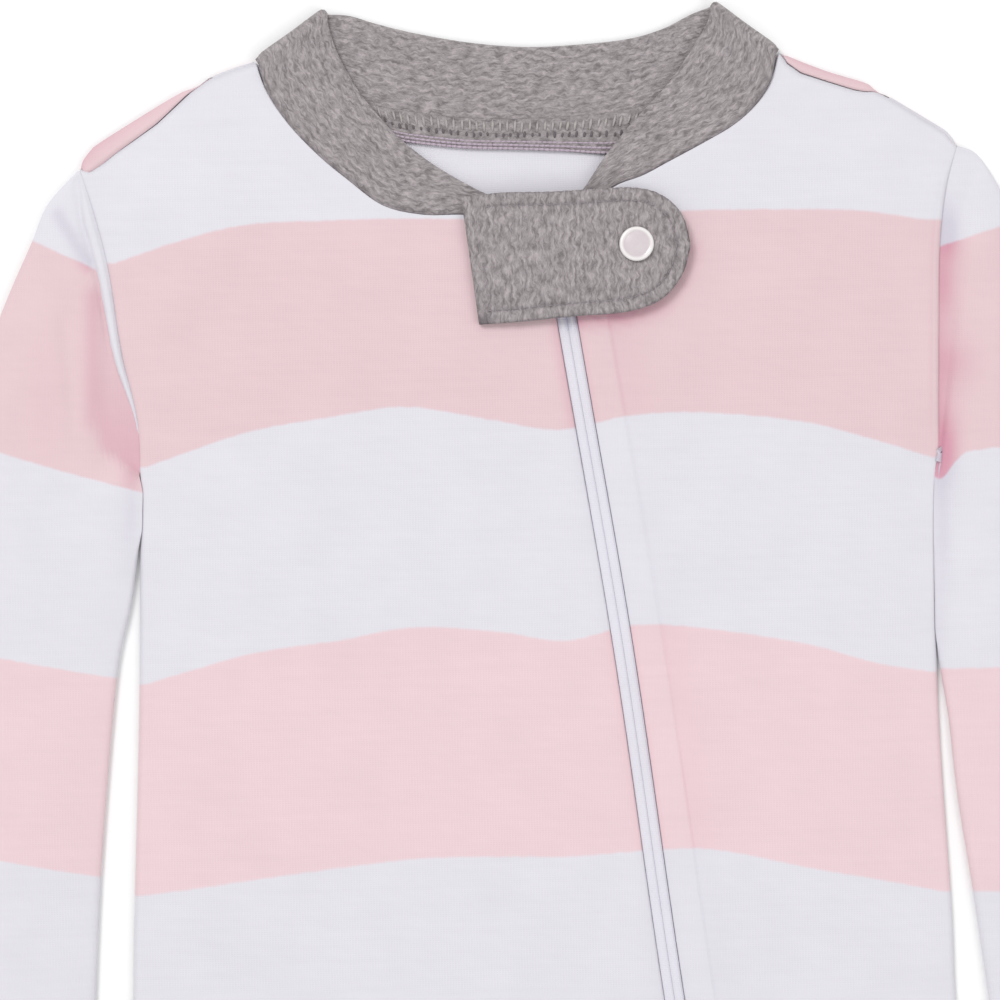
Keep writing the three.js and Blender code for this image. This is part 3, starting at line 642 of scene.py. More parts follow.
def pearl_material():
    trim = bpy.context.scene.sleepsuit_trim
    shader = Shader("pearl_enamel", roughness=0.24, coat_weight=0.5, coat_roughness=0.12, sheen_weight=0.1)
    place = shader.place()
    swirl = shader.noise(place, 260, 4, 0.6)
    colour = shader.mix(shader.spread(swirl, 0.35, 0.65), (*trim.pearl, 1), (*trim.pearl_deep, 1))
    middle = (-SNAP[0] * MM, -(SNAP[1] + NECK_Y) * MM, 0)
    centred = shader.add("Mapping", {"Location": middle, "Vector": place})
    flat = shader.add("VectorMath", {0: centred, 1: (1, 1, 0)}, operation="MULTIPLY")
    radius = shader.add("VectorMath", {0: flat}, 1, operation="LENGTH")
    colour = shader.mix(shader.spread(radius, 0.0036, 0.0043), colour, (*trim.pearl_rim, 1))
    return shader.finish(colour, swirl, 0.00004, 0.25, shader.spread(swirl, 0.3, 0.7, 0.2, 0.32))


def enamel_material():
    trim = bpy.context.scene.sleepsuit_trim
    shader = Shader("slider_enamel", roughness=0.32, coat_weight=0.3)
    place = shader.place()
    wear_and_painted_shade = shader.noise(place, 700, 3)
    dull = (*[c * 0.82 for c in trim.enamel], 1)
    colour = shader.mix(shader.spread(wear_and_painted_shade, 0.55, 0.75), (*trim.enamel, 1), dull)
    return shader.finish(colour, wear_and_painted_shade, 0.00003, 0.3, shader.spread(wear_and_painted_shade, 0.3, 0.7, 0.26, 0.42))


def floor_material():
    stage = bpy.context.scene.sleepsuit_stage
    shader = Shader("floor_paper", roughness=1.0, specular_ior_level=0.0)
    place = shader.place()
    tone = shader.spread(shader.noise(place, 30, 2), 0.2, 0.8, 0.995, 1.0)
    return shader.finish(shader.mix(1.0, (*stage.floor, 1), shader.grey(tone), "MULTIPLY"))


# Mesh making

class Knot:
    """A corner of a cloth grid: place in mm from the back neck point, its map and its strength of painted
    shade
    """
    __slots__ = ("at", "map", "painted_shade")

    def __init__(self, x, y, z, u, v, painted_shade=0.0):
        self.at = (x, y, z)
        self.map = (u, v)
        self.painted_shade = painted_shade


def add_patch(bm, rows, flip=False):
    """Lay a grid over rows of corners, from left to right and from the bottom up"""
    wide, tall = len(rows[0]) - 1, len(rows) - 1
    layer = bm.loops.layers.uv.get("cloth") or bm.loops.layers.uv.new("cloth")
    # Each corner carries a strength of painted shade, which darkens the colour in folds, grooves, seams and
    # under parts
    painted_shade = bm.verts.layers.float.get("painted_shade") or bm.verts.layers.float.new("painted_shade")
    made = bmesh.ops.create_grid(bm, x_segments=wide, y_segments=tall, size=0.5)
    knots = {}
    for vert in made["verts"]:
        i = round((vert.co.x + 0.5) * wide)
        j = round((vert.co.y + 0.5) * tall)
        knots[vert] = rows[j][i]
    faces = {face for vert in made["verts"] for face in vert.link_faces}
    for face in faces:
        for loop in face.loops:
            loop[layer].uv = knots[loop.vert].map
    for vert, knot in knots.items():
        x, y, z = knot.at
        vert.co = Vector((x, y + NECK_Y, z)) * MM
        vert[painted_shade] = knot.painted_shade
    if flip:
        bmesh.ops.reverse_faces(bm, faces=list(faces))
    return faces


def weld(bm, distance=0.00002):
    bmesh.ops.remove_doubles(bm, verts=bm.verts, dist=distance)
    bmesh.ops.dissolve_degenerate(bm, edges=bm.edges, dist=0.000004)


def make_object(name, bm, materials, smooth_faces=True):
    mesh = bpy.data.meshes.new(name)
    bm.to_mesh(mesh)
    bm.free()
    for material in materials:
        mesh.materials.append(material)
    if smooth_faces:
        mesh.shade_smooth()
    piece = bpy.data.objects.new(name, mesh)
    bpy.context.scene.collection.objects.link(piece)
    return piece


def thicken(piece, wall, rim=0.00015, inside=1, even=True):
    """Give a sheet its wall inwards, and round its raw edges"""
    solid = piece.modifiers.new("wall", "SOLIDIFY")
    solid.thickness = wall * MM
    solid.offset = -1
    solid.use_even_offset = even
    solid.use_quality_normals = True
    solid.material_offset = inside
    if rim:
        bevel = piece.modifiers.new("rim", "BEVEL")
        bevel.limit_method = "ANGLE"
        bevel.angle_limit = math.radians(60)
        bevel.width = rim
        bevel.segments = 2
        bevel.harden_normals = False


def register_piece(piece, slot, *nodes):
    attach(piece, "root")
    if nodes:
        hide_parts(*nodes)
    return piece


def dress(node, material):
    """Give a kept solid its finish"""
    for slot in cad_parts[node].material_slots:
        slot.material = material


def grid_of(left, right, shares, corner):
    """Rows of corners between two edges"""
    return [[corner(*between(a, b, t)[:2]) for t in shares] for a, b in zip(left, right)]


def eased(count, dense=0.55):
    """Shares from 0 to 1, closer together at both ends"""
    return [t - dense * math.sin(2 * math.pi * t) / (2 * math.pi) for t in steps(0, 1, count)]


def fold_round(columns, outer, phase):
    """Corners of a folded edge, from its underside up to the panel's first corner"""
    rounded = []
    for (ox, oy), knot in zip(outer, columns):
        x, y, z = knot.at
        row = []
        for k in range(FOLD_STEPS):
            turn = math.pi / 2 * k / FOLD_STEPS
            px = lerp(ox, x, 1 - math.cos(turn))
            py = lerp(oy, y, 1 - math.cos(turn))
            pz = lerp(lerp(FOLD_LOW, SEAM_LOW, at_armhole(oy)), z, math.sin(turn))
            row.append(Knot(px, py, pz, px, phase(x, y), 0))
        rounded.append(row)
    return rounded


BODY_ROWS = 118
NECK_ROWS = 40
BOW_ROWS = 14
LEG_ROWS = 60
YOKE = -64.0          # the body's rows lie closer together above this height


def body_levels():
    return steps(CROTCH, YOKE, BODY_ROWS) + steps(YOKE, SHOULDER_TOP, NECK_ROWS)[1:]


def front_knot(x, y):
    return Knot(x, y, front_over(x, y), x, front_phase(x, y), front_painted_shade(x, y))


# Line just below the tab's lower edge, along which a painted shadow lies on the front
UNDER_TAB = [(15, -46.6), (30.4, -45.8), (40.2, -42.6), (46.6, -35.6), (49.6, -27)]


def front_painted_shade(x, y):
    """Painted shade on the front: a painted shadow under the tab, painted shade beside the zip and at the
    step of its turned edge, and beside the right armhole
    """
    shade = 0.0
    # Painted shadow under the tab
    if -52 < y < -20 and 8 < x < 54:
        near = min(off_line(x, y, (*a, *b)) for a, b in zip(UNDER_TAB, UNDER_TAB[1:]))
        shade += lerp(0.72, 0.28, smooth(y, -46, -40)) * math.exp(-((near / 2.6) ** 2))
    # Painted shade beside the zip: a line at the turned edge's step, a soft band beyond it, and bands on both
    # sides of the zip
    if x > 0 and y < -40:
        off = x - zip_x(y)
        beyond = off - HEM_REACH - 0.3
        if off > 0:
            at_step = 0.13 * math.exp(-((beyond / 0.5) ** 2))
            shade += at_step + 0.2 * math.exp(-(((off - ZIP_HALF) / 1.1) ** 2))
        if beyond > 0:
            shade += 0.1 * math.exp(-((beyond / 9) ** 2))
        if off < 0:
            top = 0.12 + 0.22 * smooth(y, -110, -60)
            shade += top * math.exp(-(((off + ZIP_HALF) / 2.1) ** 2))
    # Painted shade beside the right armhole
    if x > 60 and y > ARMHOLE_BOTTOM:
        shade += 0.25 * (1 - smooth(side("right", min(y, SHOULDER_TOP)) - x, 0, 4)) * armhole_share(y)
    return clamp(shade)


def with_folds(rows, left_edge=None, right_edge=None):
    """Add the rounding of a folded edge at either end of each row"""
    if left_edge:
        rounded = fold_round([row[0] for row in rows], left_edge, front_phase)
        rows = [start + row for start, row in zip(rounded, rows)]
    if right_edge:
        rounded = fold_round([row[-1] for row in rows], right_edge, front_phase)
        rows = [row + end[::-1] for row, end in zip(rows, rounded)]
    return rows


def inset_edge(edge, distance):
    return [[x + distance, y] for x, y in edge]


def shoulder_share(name, x, y):
    """How far a place lies along a shoulder seam, from its tip to the neck"""
    x0, y0, x1, y1 = SHOULDERS[name]
    length = math.dist((x0, y0), (x1, y1))
    return clamp(((x - x0) * (x1 - x0) + (y - y0) * (y1 - y0)) / length ** 2)


def shoulder_outwards(name):
    """Direction in plan across a shoulder seam, away from the body"""
    x0, y0, x1, y1 = SHOULDERS[name]
    length = math.dist((x0, y0), (x1, y1))
    mirror = -1 if name == "left" else 1
    return mirror * abs(y1 - y0) / length, abs(x1 - x0) / length


def bowed(rows, name):
    """The last rows of a front, moved out to the bowed shoulder edge"""
    bows = [(row[0], row[1]) for row in SHOULDER_BOWS[name]]
    out = shoulder_outwards(name)
    moved = rows[:-BOW_ROWS]
    for i, row in enumerate(rows[-BOW_ROWS:]):
        weight = smooth(i + 1, 0, BOW_ROWS)
        line = []
        for knot in row:
            x, y, _ = knot.at
            bow = straight(bows, shoulder_share(name, x, y)) * weight
            line.append(front_knot(x + out[0] * bow, y + out[1] * bow))
        moved.append(line)
    return moved


def neck_climb(band, mirror, half):
    """A front's zip edge up to the neck, and then along the neckline"""
    seam = [[row[0], row[1]] for row in band]
    fold = BAND_FOLDS[0 if mirror < 0 else 1]
    seam[-1] = between(seam[-1], fold[:2], 0.5)
    seam = along(seam, NECK_ROWS)
    neckline = shifted(seam, NECK_GAP * -mirror)
    start = neckline[0]
    levels = steps(CROTCH, start[1], BODY_ROWS)
    climb = [[zip_x(y) + half, y] for y in levels]
    climb[-1] = start
    return climb + neckline[1:]


def front_panel_right():
    """Wide front with one leg and the inner strip of the other"""
    bm = bmesh.new()
    levels = body_levels()
    outline = [[side("left", y), y] for y in levels]
    left = inset_edge(outline, FOLD_WIDE)
    right = neck_climb(BAND_FRONT_RIGHT, -1, -ZIP_HALF)
    wide, narrow = eased(46, 0.5), eased(22, 0.6)
    share = (FORK_X - left[0][0]) / (right[0][0] - left[0][0])
    shares = [t * share for t in wide] + [share + t * (1 - share) for t in narrow[1:]]
    body = bowed(grid_of(left, right, shares, front_knot), "left")
    add_patch(bm, with_folds(body, left_edge=outline))
    # Leg on the viewer's left, folded at both sides
    low = steps(ANKLE, CROTCH, LEG_ROWS)
    outer = [[leg_side("leftOut", y), y] for y in low]
    inner = [[leg_side("leftIn", y), y] for y in low]
    a, b = inset_edge(outer, FOLD_WIDE), leg_inset(inner, -FOLD_WIDE)
    add_patch(bm, with_folds(grid_of(a, b, wide, front_knot), outer, inner))
    inner = [[leg_side("rightIn", y), y] for y in low]
    a = leg_inset(inner, FOLD_WIDE)
    b = [[zip_x(y) - ZIP_HALF, y] for y in low]
    add_patch(bm, with_folds(grid_of(a, b, narrow, front_knot), left_edge=inner))
    weld(bm)
    return bm


def leg_inset(edge, distance):
    """The fold's inner side, which closes to nothing where the legs meet"""
    return [[x + distance * smooth(CROTCH - y, 0, 6), y] for x, y in edge]


ZIP_OFFSETS = [0, 0.5, 1.1, 2, 3.5, 5.5, 7.2, 7.9, 8.3, 8.6, 8.9, 9.2, 9.6, 10.3, 11.5]


def beside_zip(a, b, count):
    """Shares from a zip edge outwards, close together where the turned edge ends"""
    near = [off / math.dist(a, b) for off in ZIP_OFFSETS]
    return near + [lerp(near[-1], 1, t) for t in eased(count, 0.3)[1:]]


def front_panel_left():
    bm = bmesh.new()
    low = steps(ANKLE, CROTCH, LEG_ROWS)[:-1]
    inner = [[zip_x(y) + ZIP_HALF, y] for y in low] + neck_climb(BAND_FRONT_LEFT, 1, ZIP_HALF)
    outline = [[leg_side("rightOut", y), y] for y in low] + [[side("right", y), y] for y in body_levels()]
    outer = inset_edge(outline, -FOLD_WIDE)
    rows = [[front_knot(*between(a, b, t)) for t in beside_zip(a, b, 38)] for a, b in zip(inner, outer)]
    add_patch(bm, with_folds(bowed(rows, "right"), right_edge=outline))
    weld(bm)
    return bm


def back_knot(x, y):
    return Knot(x, y, 0, x, back_phase(x, y))


def back_panel():
    """Body and both legs in one piece, with its shoulder edges rolled up into view"""
    bm = bmesh.new()
    seam = along([[row[0], row[1]] for row in BAND_BACK], 2 * NECK_ROWS)
    left_neck = shifted(seam[:NECK_ROWS + 1][::-1], NECK_GAP)
    right_neck = shifted(seam[NECK_ROWS:], -NECK_GAP)
    lowest = between(left_neck[0], right_neck[0], 0.5)
    left_neck[0] = right_neck[0] = lowest
    levels = body_levels()
    rise = levels[:len(levels) - NECK_ROWS]
    climb = [[lerp(FORK_X, lowest[0], i / (len(rise) - 1)), lerp(CROTCH, lowest[1], i / (len(rise) - 1))]
             for i in range(len(rise))]
    sides = {
        "left": [[side("left", y) + back_inset(y), y] for y in levels],
        "right": [[side("right", y) - back_inset(y), y] for y in levels],
    }
    shares = eased(40, 0.3)
    for name, neck, sign in (("left", left_neck, -1), ("right", right_neck, 1)):
        middle = climb + neck[1:]
        a, b = (sides["left"], middle) if sign < 0 else (middle, sides["right"])
        rows = grid_of(a, b, shares, back_knot)
        rows += rolled_rows(rows[-1], name)
        add_patch(bm, rows, flip=True)
    low = steps(ANKLE, CROTCH, LEG_ROWS)
    for out, inn, sign in (("leftOut", "leftIn", 1), ("rightOut", "rightIn", -1)):
        outer = [[leg_side(out, y) + sign * BACK_INSET, y] for y in low]
        inner = [[leg_side(inn, y) - sign * BACK_INSET * smooth(CROTCH - y, 0, 6), y] for y in low]
        a, b = (outer, inner) if sign > 0 else (inner, outer)
        add_patch(bm, grid_of(a, b, shares, back_knot), flip=True)
    weld(bm)
    return bm


def back_inset(y):
    """Short of the folded side, and out to the seam at the armhole"""
    return lerp(BACK_INSET, 0.05, smooth(y, ARMHOLE_BOTTOM - 8, ARMHOLE_BOTTOM + 4))


def rolled_rows(row, name):
    """Rows beyond the shoulder seam: out to the front's edge, and where the back shows, up over it"""
    out = shoulder_outwards(name)
    rows = []
    for k in range(12):
        turn = math.pi * max(k - 1, 0) / 10
        rolled = []
        for knot in row:
            x, y, _ = knot.at
            share = shoulder_share(name, x, y)
            front, outline = (straight([(r[0], r[i]) for r in SHOULDER_BOWS[name]], share) for i in (1, 2))
            shown = smooth(outline - front, 0.05, 1.2)
            base = max(0.0, lerp(front, min(front, outline - 2), shown))
            # The front's edge starts inside its folded side, so the roll ends there too
            inside = FOLD_WIDE * abs(out[0]) * (1 - share)
            end = lerp(base, front - inside + 0.04, shown)
            start = base if turn < math.pi / 2 else end
            across = start + (outline - start) * math.sin(turn) * shown
            if k == 0:
                across = base / 2
            high = 1.36 * shown * (1 - math.cos(turn))
            # Painted shade where the roll turns over, strongest towards the shoulder's tip on the left and
            # towards the neck on the right
            roll_painted_shade = 0.5 * math.sin(turn) ** 2 * (1 - share if name == "left" else share)
            phase = back_phase(*SHOULDERS[name][:2]) - 0.02 * turn
            rolled.append(Knot(x + out[0] * across, y + out[1] * across, high, x, phase, roll_painted_shade))
        rows.append(rolled)
    return rows


def sleeve_knots(name):
    """Rows of a flattened tube from the armhole to the hem"""
    mirror = -1 if name == "left" else 1
    columns, fine = 40, 600
    levels = steps(ARMHOLE_BOTTOM, SHOULDER_TOP, columns)
    armhole = [[side(name, y) + mirror * SEAM_GAP, y] for y in levels]
    fold = along(SLEEVE_FOLD[name], fine)
    seam = along(SLEEVE_SEAM[name], fine)
    seam[0], fold[0] = armhole[0], armhole[-1]
    rows = []
    for i in list(range(18)) + [18 + 2 * k for k in range(14)] + [round(t) for t in steps(46, fine, 92)]:
        bend = max(0.0, 1 - i / (0.3 * fine))
        width = math.dist(fold[i], seam[i])
        plan = []
        for j in range(columns + 1):
            t = j / columns
            chord = between(armhole[0], armhole[-1], t)
            plan.append([
                a + (p - c) * bend
                for a, p, c in zip(between(seam[i], fold[i], t), armhole[j], chord)
            ])
        rows.append(sleeve_loop(name, plan, width, armhole))
    return [tucked_row(rows[0], mirror)] + rows


def tucked_row(row, mirror):
    """The sleeve's upper edge, run on under the edge of the body"""
    tucked = []
    for knot in row:
        x, y, z = knot.at
        climb = clamp((y - ARMHOLE_BOTTOM) / (SHOULDER_TOP - ARMHOLE_BOTTOM))
        share = math.sqrt(max(0.0, math.sin(math.pi * climb))) * smooth(z, 1.6, 2.3)
        # The tucked edge carries a fixed painted shade, where it runs under the body's edge
        tucked.append(Knot(x - mirror * TUCK * share, y, min(z, SLEEVE_AT_SEAM), *knot.map, 0.4))
    return tucked


def lean(name, y, z, inwards):
    """How far the sleeve's edge leans over the body's, just below the armhole"""
    low, high = LEANS[name]
    where = smooth(-y, 87, 94) * (1 - smooth(-y, low, high))
    return 1.25 * clamp((z - 1.35) / 1.35) * where * (1 - smooth(inwards, 1.35, 6))


def sleeve_loop(name, plan, width, armhole):
    last = len(plan) - 1
    doubled = 2 * CLOTH + GAP
    mirror = -1 if name == "left" else 1

    def at(t):
        spot = clamp(t) * last
        j = min(int(spot), last - 1)
        return between(plan[j], plan[j + 1], spot - j)

    reach = min(1.35 / width, 0.4)
    loop = []
    shares = [lerp(reach, 1 - reach, t) for t in eased(42, 0.4)]
    for t in shares:
        x, y = at(t)
        loop.append(sleeve_knot(name, x, y, 0.0, t * width))
    for k in range(1, 8):
        turn = math.pi * k / 8
        x, y = at(1 - reach + reach * math.sin(turn))
        loop.append(sleeve_knot(name, x, y, doubled / 2 * (1 - math.cos(turn)), width + k))
    for t in shares[::-1]:
        x, y = at(t)
        level, roll = sleeve_top(name, plan, width, armhole, t, x, y)
        x -= mirror * lean(name, y, level, t * width)
        loop.append(sleeve_knot(name, x, y, level, width * (2 - t) + 8, roll))
    for k in range(1, 8):
        turn = math.pi * k / 8
        x, y = at(reach - reach * math.sin(turn))
        z = doubled / 2 * (1 + math.cos(turn))
        x -= mirror * lean(name, y, z, 0)
        loop.append(sleeve_knot(name, x, y, z, 2 * width + 8 + k))
    loop.append(loop[0])
    return loop


def sleeve_knot(name, x, y, z, around, roll=False):
    if roll:
        return Knot(x, y, z, around, -0.5, 0)
    # Painted shade, on the sleeve's upper face only
    shade = sleeve_painted_shade(name, x, y) if z > 1.5 else 0.0
    return Knot(x, y, z, around, sleeve_phase(name, x, y), shade)


def pit_share(x, y):
    """How far a place lies in the pressed hollow between the left sleeve and the body"""
    valley = straight([(-80, -126.5), (-44, -124.2), (-14, -133)], y)
    ridge = lerp(-78.5, -87.5, clamp((x + 126.5) / 13))
    return (
        smooth(x, valley, valley + 4.5) * smooth(y, ridge - 1.2, ridge + 1.5)
        * (1 - smooth(y, -50, -26))
    )


def sleeve_painted_shade(name, x, y):
    """Painted shade in the pressed creases and hollows beside the armhole"""
    hollow = sum(
        h[4] * math.exp(-(((x - h[0]) / h[2]) ** 2) - ((y - h[1]) / h[3]) ** 2) for h in PAINTED_HOLLOW_SHADE[name]
    )
    # Left: painted shade in the pit, along the valley and along the grey fold in the white stripe
    if name == "left":
        pit = pit_share(x, y) * lerp(0.16, 0.5, smooth(-y, 50, 84))
        valley = 0.42 * math.exp(-((off_line(x, y, (-124.4, -36, -125.6, -72)) / 2.6) ** 2))
        white = 0.8 * math.exp(-((off_line(x, y, (-134, -12, -126, -26)) / 2.1) ** 2))
        return clamp(pit + valley + white + hollow)
    # Right: painted shade along the seam beside the body
    beside = x - side("right", clamp(y, -400, SHOULDER_TOP))
    seam = lerp(0.45, 0.62, smooth(-y, 50, 84)) * math.exp(-((beside / 4.8) ** 2))
    return clamp(hollow + seam * smooth(y, -112, -90) * (1 - smooth(y, -26, -6)))


def roll_width(y):
    """Width of the roll along the left armhole, which tapers to nothing at both ends"""
    return ROLL_WIDE * smooth(y, -82, -48) * (1 - 0.75 * smooth(y, -16, 0))


def sleeve_top(name, plan, width, armhole, t, x, y):
    """Height of the sleeve's upper face, and whether the place is on the roll"""
    last = len(plan) - 1
    spot = clamp(t) * last
    j = min(int(spot), last - 1)
    hole = between(armhole[j], armhole[j + 1], spot - j)
    inwards = min(t, 1 - t) * width
    round_up = math.sin(math.pi / 2 * min(inwards / SLEEVE_LOFT_EDGE, 1))
    from_armhole = math.dist((x, y), hole)
    opened = min(from_armhole / SLEEVE_LOFT_EDGE, 1)
    rise = max(0.0, round_up * opened * (SLEEVE_LOFT - fold_depth(x, y)))
    level = 2 * CLOTH + GAP + rise
    level += smooth(inwards, 0, 10) * smooth(from_armhole, 0, 8) * (soft_waves(x + 7, y) - crease_depth(x, y))
    sunk = smooth(inwards, 0, 3)
    if name == "right":
        # The sleeve falls away under the body's edge
        level -= 1.2 * (1 - smooth(from_armhole, 3, 13)) * sunk
        return max(level, SLEEVE_AT_SEAM), False
    wide = roll_width(y)
    level -= 0.9 * pit_share(x, y) * sunk
    level = max(level - 0.8 * (1 - smooth(from_armhole, wide, wide + 3)) * sunk, SLEEVE_AT_SEAM)
    if from_armhole < wide and wide > 0.3:
        arch = math.sqrt(max(0.0, 1 - (2 * from_armhole / wide - 1) ** 2))
        return level + ROLL_HIGH * wide / ROLL_WIDE * arch, True
    return level, False


def sleeve(name):
    bm = bmesh.new()
    add_patch(bm, sleeve_knots(name))
    weld(bm)
    bm.normal_update()
    middle = (CLOTH + GAP / 2) * MM
    outwards = sum(f.normal.z * (f.calc_center_median().z - middle) * f.calc_area() for f in bm.faces)
    if outwards < 0:
        bmesh.ops.reverse_faces(bm, faces=bm.faces)
    return bm


# Feet

FOOT_ROWS = 34


def foot_levels(toe):
    return [lerp(toe, ANKLE - GAP, t ** 1.5) for t in steps(0, 1, FOOT_ROWS)]


def foot_upper(out, inner):
    bm = bmesh.new()
    outer = [[leg_side(out, y), y] for y in foot_levels(TOE)]
    inside = [[leg_side(inner, y), y] for y in foot_levels(TOE)]
    lifted = foot_levels(TOE + 1.2)
    a = [[x + FOLD_WIDE * 0.8, y] for (x, _), y in zip(outer, lifted)]
    b = [[x - FOLD_WIDE * 0.8, y] for (x, _), y in zip(inside, lifted)]
    rows = grid_of(a, b, eased(34, 0.4), front_knot)
    rows = with_folds(rows, outer, inside)
    toe = []
    for k in range(6):
        turn = math.pi / 2 * k / 6
        row = []
        for knot in rows[0]:
            x, y, z = knot.at
            depth = lerp(TOE, y, 1 - math.cos(turn))
            row.append(Knot(x, depth, lerp(min(FOLD_LOW, z), z, math.sin(turn)), x, front_phase(x, y), 0))
        toe.append(row)
    add_patch(bm, toe + rows)
    weld(bm)
    return bm


def foot_sole(out, inner):
    bm = bmesh.new()
    levels = foot_levels(TOE + 1.6)
    outer = [[leg_side(out, y) + BACK_INSET, y] for y in levels]
    inside = [[leg_side(inner, y) - BACK_INSET, y] for y in levels]
    rows = grid_of(outer, inside, eased(30, 0.3), lambda x, y: Knot(x, y, 0, x, FOOT_PHASE))
    add_patch(bm, rows, flip=True)
    weld(bm)
    return bm


# Neckband

def band_section(row, turn, shares):
    """Corners round the band's section, turned about the shoulder fold"""
    seam_x, seam_y, free_x, free_y = row[:4]
    half = RIBBING / 2
    radius = BAND_FRONT_LOW / 2
    length = math.hypot(free_x - seam_x, free_y - seam_y) or 1
    outward = math.copysign(1, seam_x)
    ox = outward * (free_y - seam_y) / length
    oy = -outward * (free_x - seam_x) / length
    points = []
    for across, proud in shares:
        reach = radius + proud * half
        bulge = reach * math.sin(turn)
        points.append((
            lerp(seam_x, free_x, across) + ox * bulge,
            lerp(seam_y, free_y, across) + oy * bulge,
            half + radius + reach * math.cos(turn),
            across * length,
        ))
    return points


def band_shares():
    """Round the section: over the outer face, round the free edge and back"""
    face = eased(16, 0.5)
    outer = [(t, puff(t)) for t in face]
    inner = [(t, -puff(t)) for t in face[::-1]]
    return outer + inner + [outer[0]]


def puff(t):
    """Share of the band's half wall: thin at the seam, round at the folded edge"""
    at_seam = 0.45 + 0.55 * smooth(t, 0, 0.10)
    at_fold = math.sqrt(max(0.0, 1 - clamp((t - 0.945) / 0.055) ** 2))
    return at_seam * (0.3 + 0.7 * at_fold) * (0.95 + 0.05 * math.sin(t * 9))


def neckband():
    front_right = along(BAND_FRONT_RIGHT[:-1] + [BAND_FOLDS[0]], 76)
    front_left = along(BAND_FRONT_LEFT[:-1] + [BAND_FOLDS[1]], 66)
    back = along([BAND_FOLDS[0]] + BAND_BACK[1:-1] + [BAND_FOLDS[1]], 90)
    shares = band_shares()
    sections = [(row, 0.0) for row in front_right[:-1]]
    sections += [(BAND_FOLDS[0], math.pi * k / 12) for k in range(13)]
    sections += [(row, math.pi) for row in back[1:-1]]
    sections += [(BAND_FOLDS[1], math.pi * (1 - k / 12)) for k in range(13)]
    sections += [(row, 0.0) for row in front_left[-2::-1]]
    rows = []
    length = 0.0
    before = None
    for row, turn in sections:
        points = band_section(row, turn, shares)
        centre = points[8]
        if before:
            length += math.dist(before[:3], centre[:3])
        before = centre
        wave = 0.12 * math.sin(length / 7.3) + 0.08 * math.sin(length / 3.1 + 1)
        corners = []
        for k, (x, y, z, across) in enumerate(points):
            upper = k <= 16
            high = z + (wave * 0.6 if upper else 0) * math.sin(math.pi * clamp(across / 24))
            around = across if upper else 60 - across
            corners.append(Knot(x, y, max(high, 0), length, around, band_painted_shade(across, upper)))
        rows.append(corners)
    bm = bmesh.new()
    add_patch(bm, rows)
    weld(bm)
    cap_ends(bm)
    bmesh.ops.recalc_face_normals(bm, faces=bm.faces)
    return bm


# Painted shade along the band's seam edge, on its upper face
def band_painted_shade(across, upper):
    return 0.5 * (1 - smooth(across, 0.2, 1.3)) if upper else 0.0


def cap_ends(bm):
    loose = [edge for edge in bm.edges if edge.is_boundary]
    bmesh.ops.holes_fill(bm, edges=loose, sides=0)


# Closing tab

def tab_under(x):
    return TAB_LOW + TAB_RISE * smooth(x, TAB_RISE_FROM, TAB_RISE_TO)


def tab_edges():
    """The tab's lower and upper edge, both from the square end to the round one"""
    return along(TAB_LOWER, 200), along(TAB_UPPER, 220)


def tab_outline():
    """Places all round the tab's edge"""
    lower, upper = tab_edges()
    return lower[::4] + upper[::4] + [between(lower[0], upper[0], t) for t in steps(0, 1, 20)]


def tab_inside(x, y, outline):
    return min(math.dist((x, y), p) for p in outline)


def tab_rows(columns, rows):
    """Places all over the tab, each with its distance from the edge"""
    lower, upper = tab_edges()
    outline = tab_outline()
    grid = []
    for i in range(rows + 1):
        a = lower[round(i * (len(lower) - 1) / rows)]
        b = upper[round(i * (len(upper) - 1) / rows)]
        line = []
        for t in eased(columns, 0.6):
            x, y = between(a, b, t)
            line.append((x, y, tab_inside(x, y, outline)))
        grid.append(line)
    return grid


def tab_height(x, y, inside):
    """Upper face: rounded edge, pressed topstitch, puffed margin and middle"""
    edge = math.sqrt(max(0.0, 1 - (1 - clamp(inside / 0.9)) ** 2))
    height = tab_under(x) + TAB_WALL * (0.42 + 0.58 * edge)
    sewn = smooth(x, -13, -9)
    stitch = 0.42 * math.exp(-(((inside - TAB_STITCH_IN) / 0.55) ** 2)) * sewn
    margin = 0.16 * math.sin(math.pi * clamp(inside / TAB_STITCH_IN)) * sewn
    middle = 0.3 * smooth(inside, TAB_STITCH_IN, 9)
    from_snap = math.dist((x, y), SNAP)
    dimple = 0.45 * (1 - smooth(from_snap, 4.4, 8.5))
    fold = 0.22 * math.exp(-(((x + 8.6 - (y + 28) * 0.11) / 0.8) ** 2))
    lumps = 0.1 * math.sin(x / 2.6 + y / 5) * math.sin(y / 3.3 - x / 9) * smooth(inside, 0, 2)
    return height + margin + middle - stitch - dimple - fold + lumps


def tab_painted_shade(x, y, inside):
    # Painted shade along the topstitch groove, in the lower left corner and round the edge
    line = 0.45 * math.exp(-(((inside - TAB_STITCH_IN) / 0.4) ** 2)) * smooth(x, -13, -9)
    corner = 0.8 * math.exp(-((math.dist((x, y), (-11.5, -46.8)) / 2.8) ** 2))
    edge = 0.35 * (1 - smooth(inside, 0.1, 0.9))
    return clamp(line + corner + edge)


def neck_tab():
    bm = bmesh.new()
    grid = tab_rows(44, 84)
    top = [[Knot(x, y, tab_height(x, y, inside), y, x, tab_painted_shade(x, y, inside)) for x, y, inside in line]
           for line in grid]
    under = [[Knot(x, y, tab_under(x) + TAB_WALL * 0.42 * (1 - clamp(inside / 0.9)) ** 0.5 * 0.98, y, x, 0)
              for x, y, inside in line] for line in grid]
    add_patch(bm, top)
    add_patch(bm, under, flip=True)
    weld(bm, 0.00003)
    cap_ends(bm)
    bmesh.ops.recalc_face_normals(bm, faces=bm.faces)
    return bm


# Threads and small trims

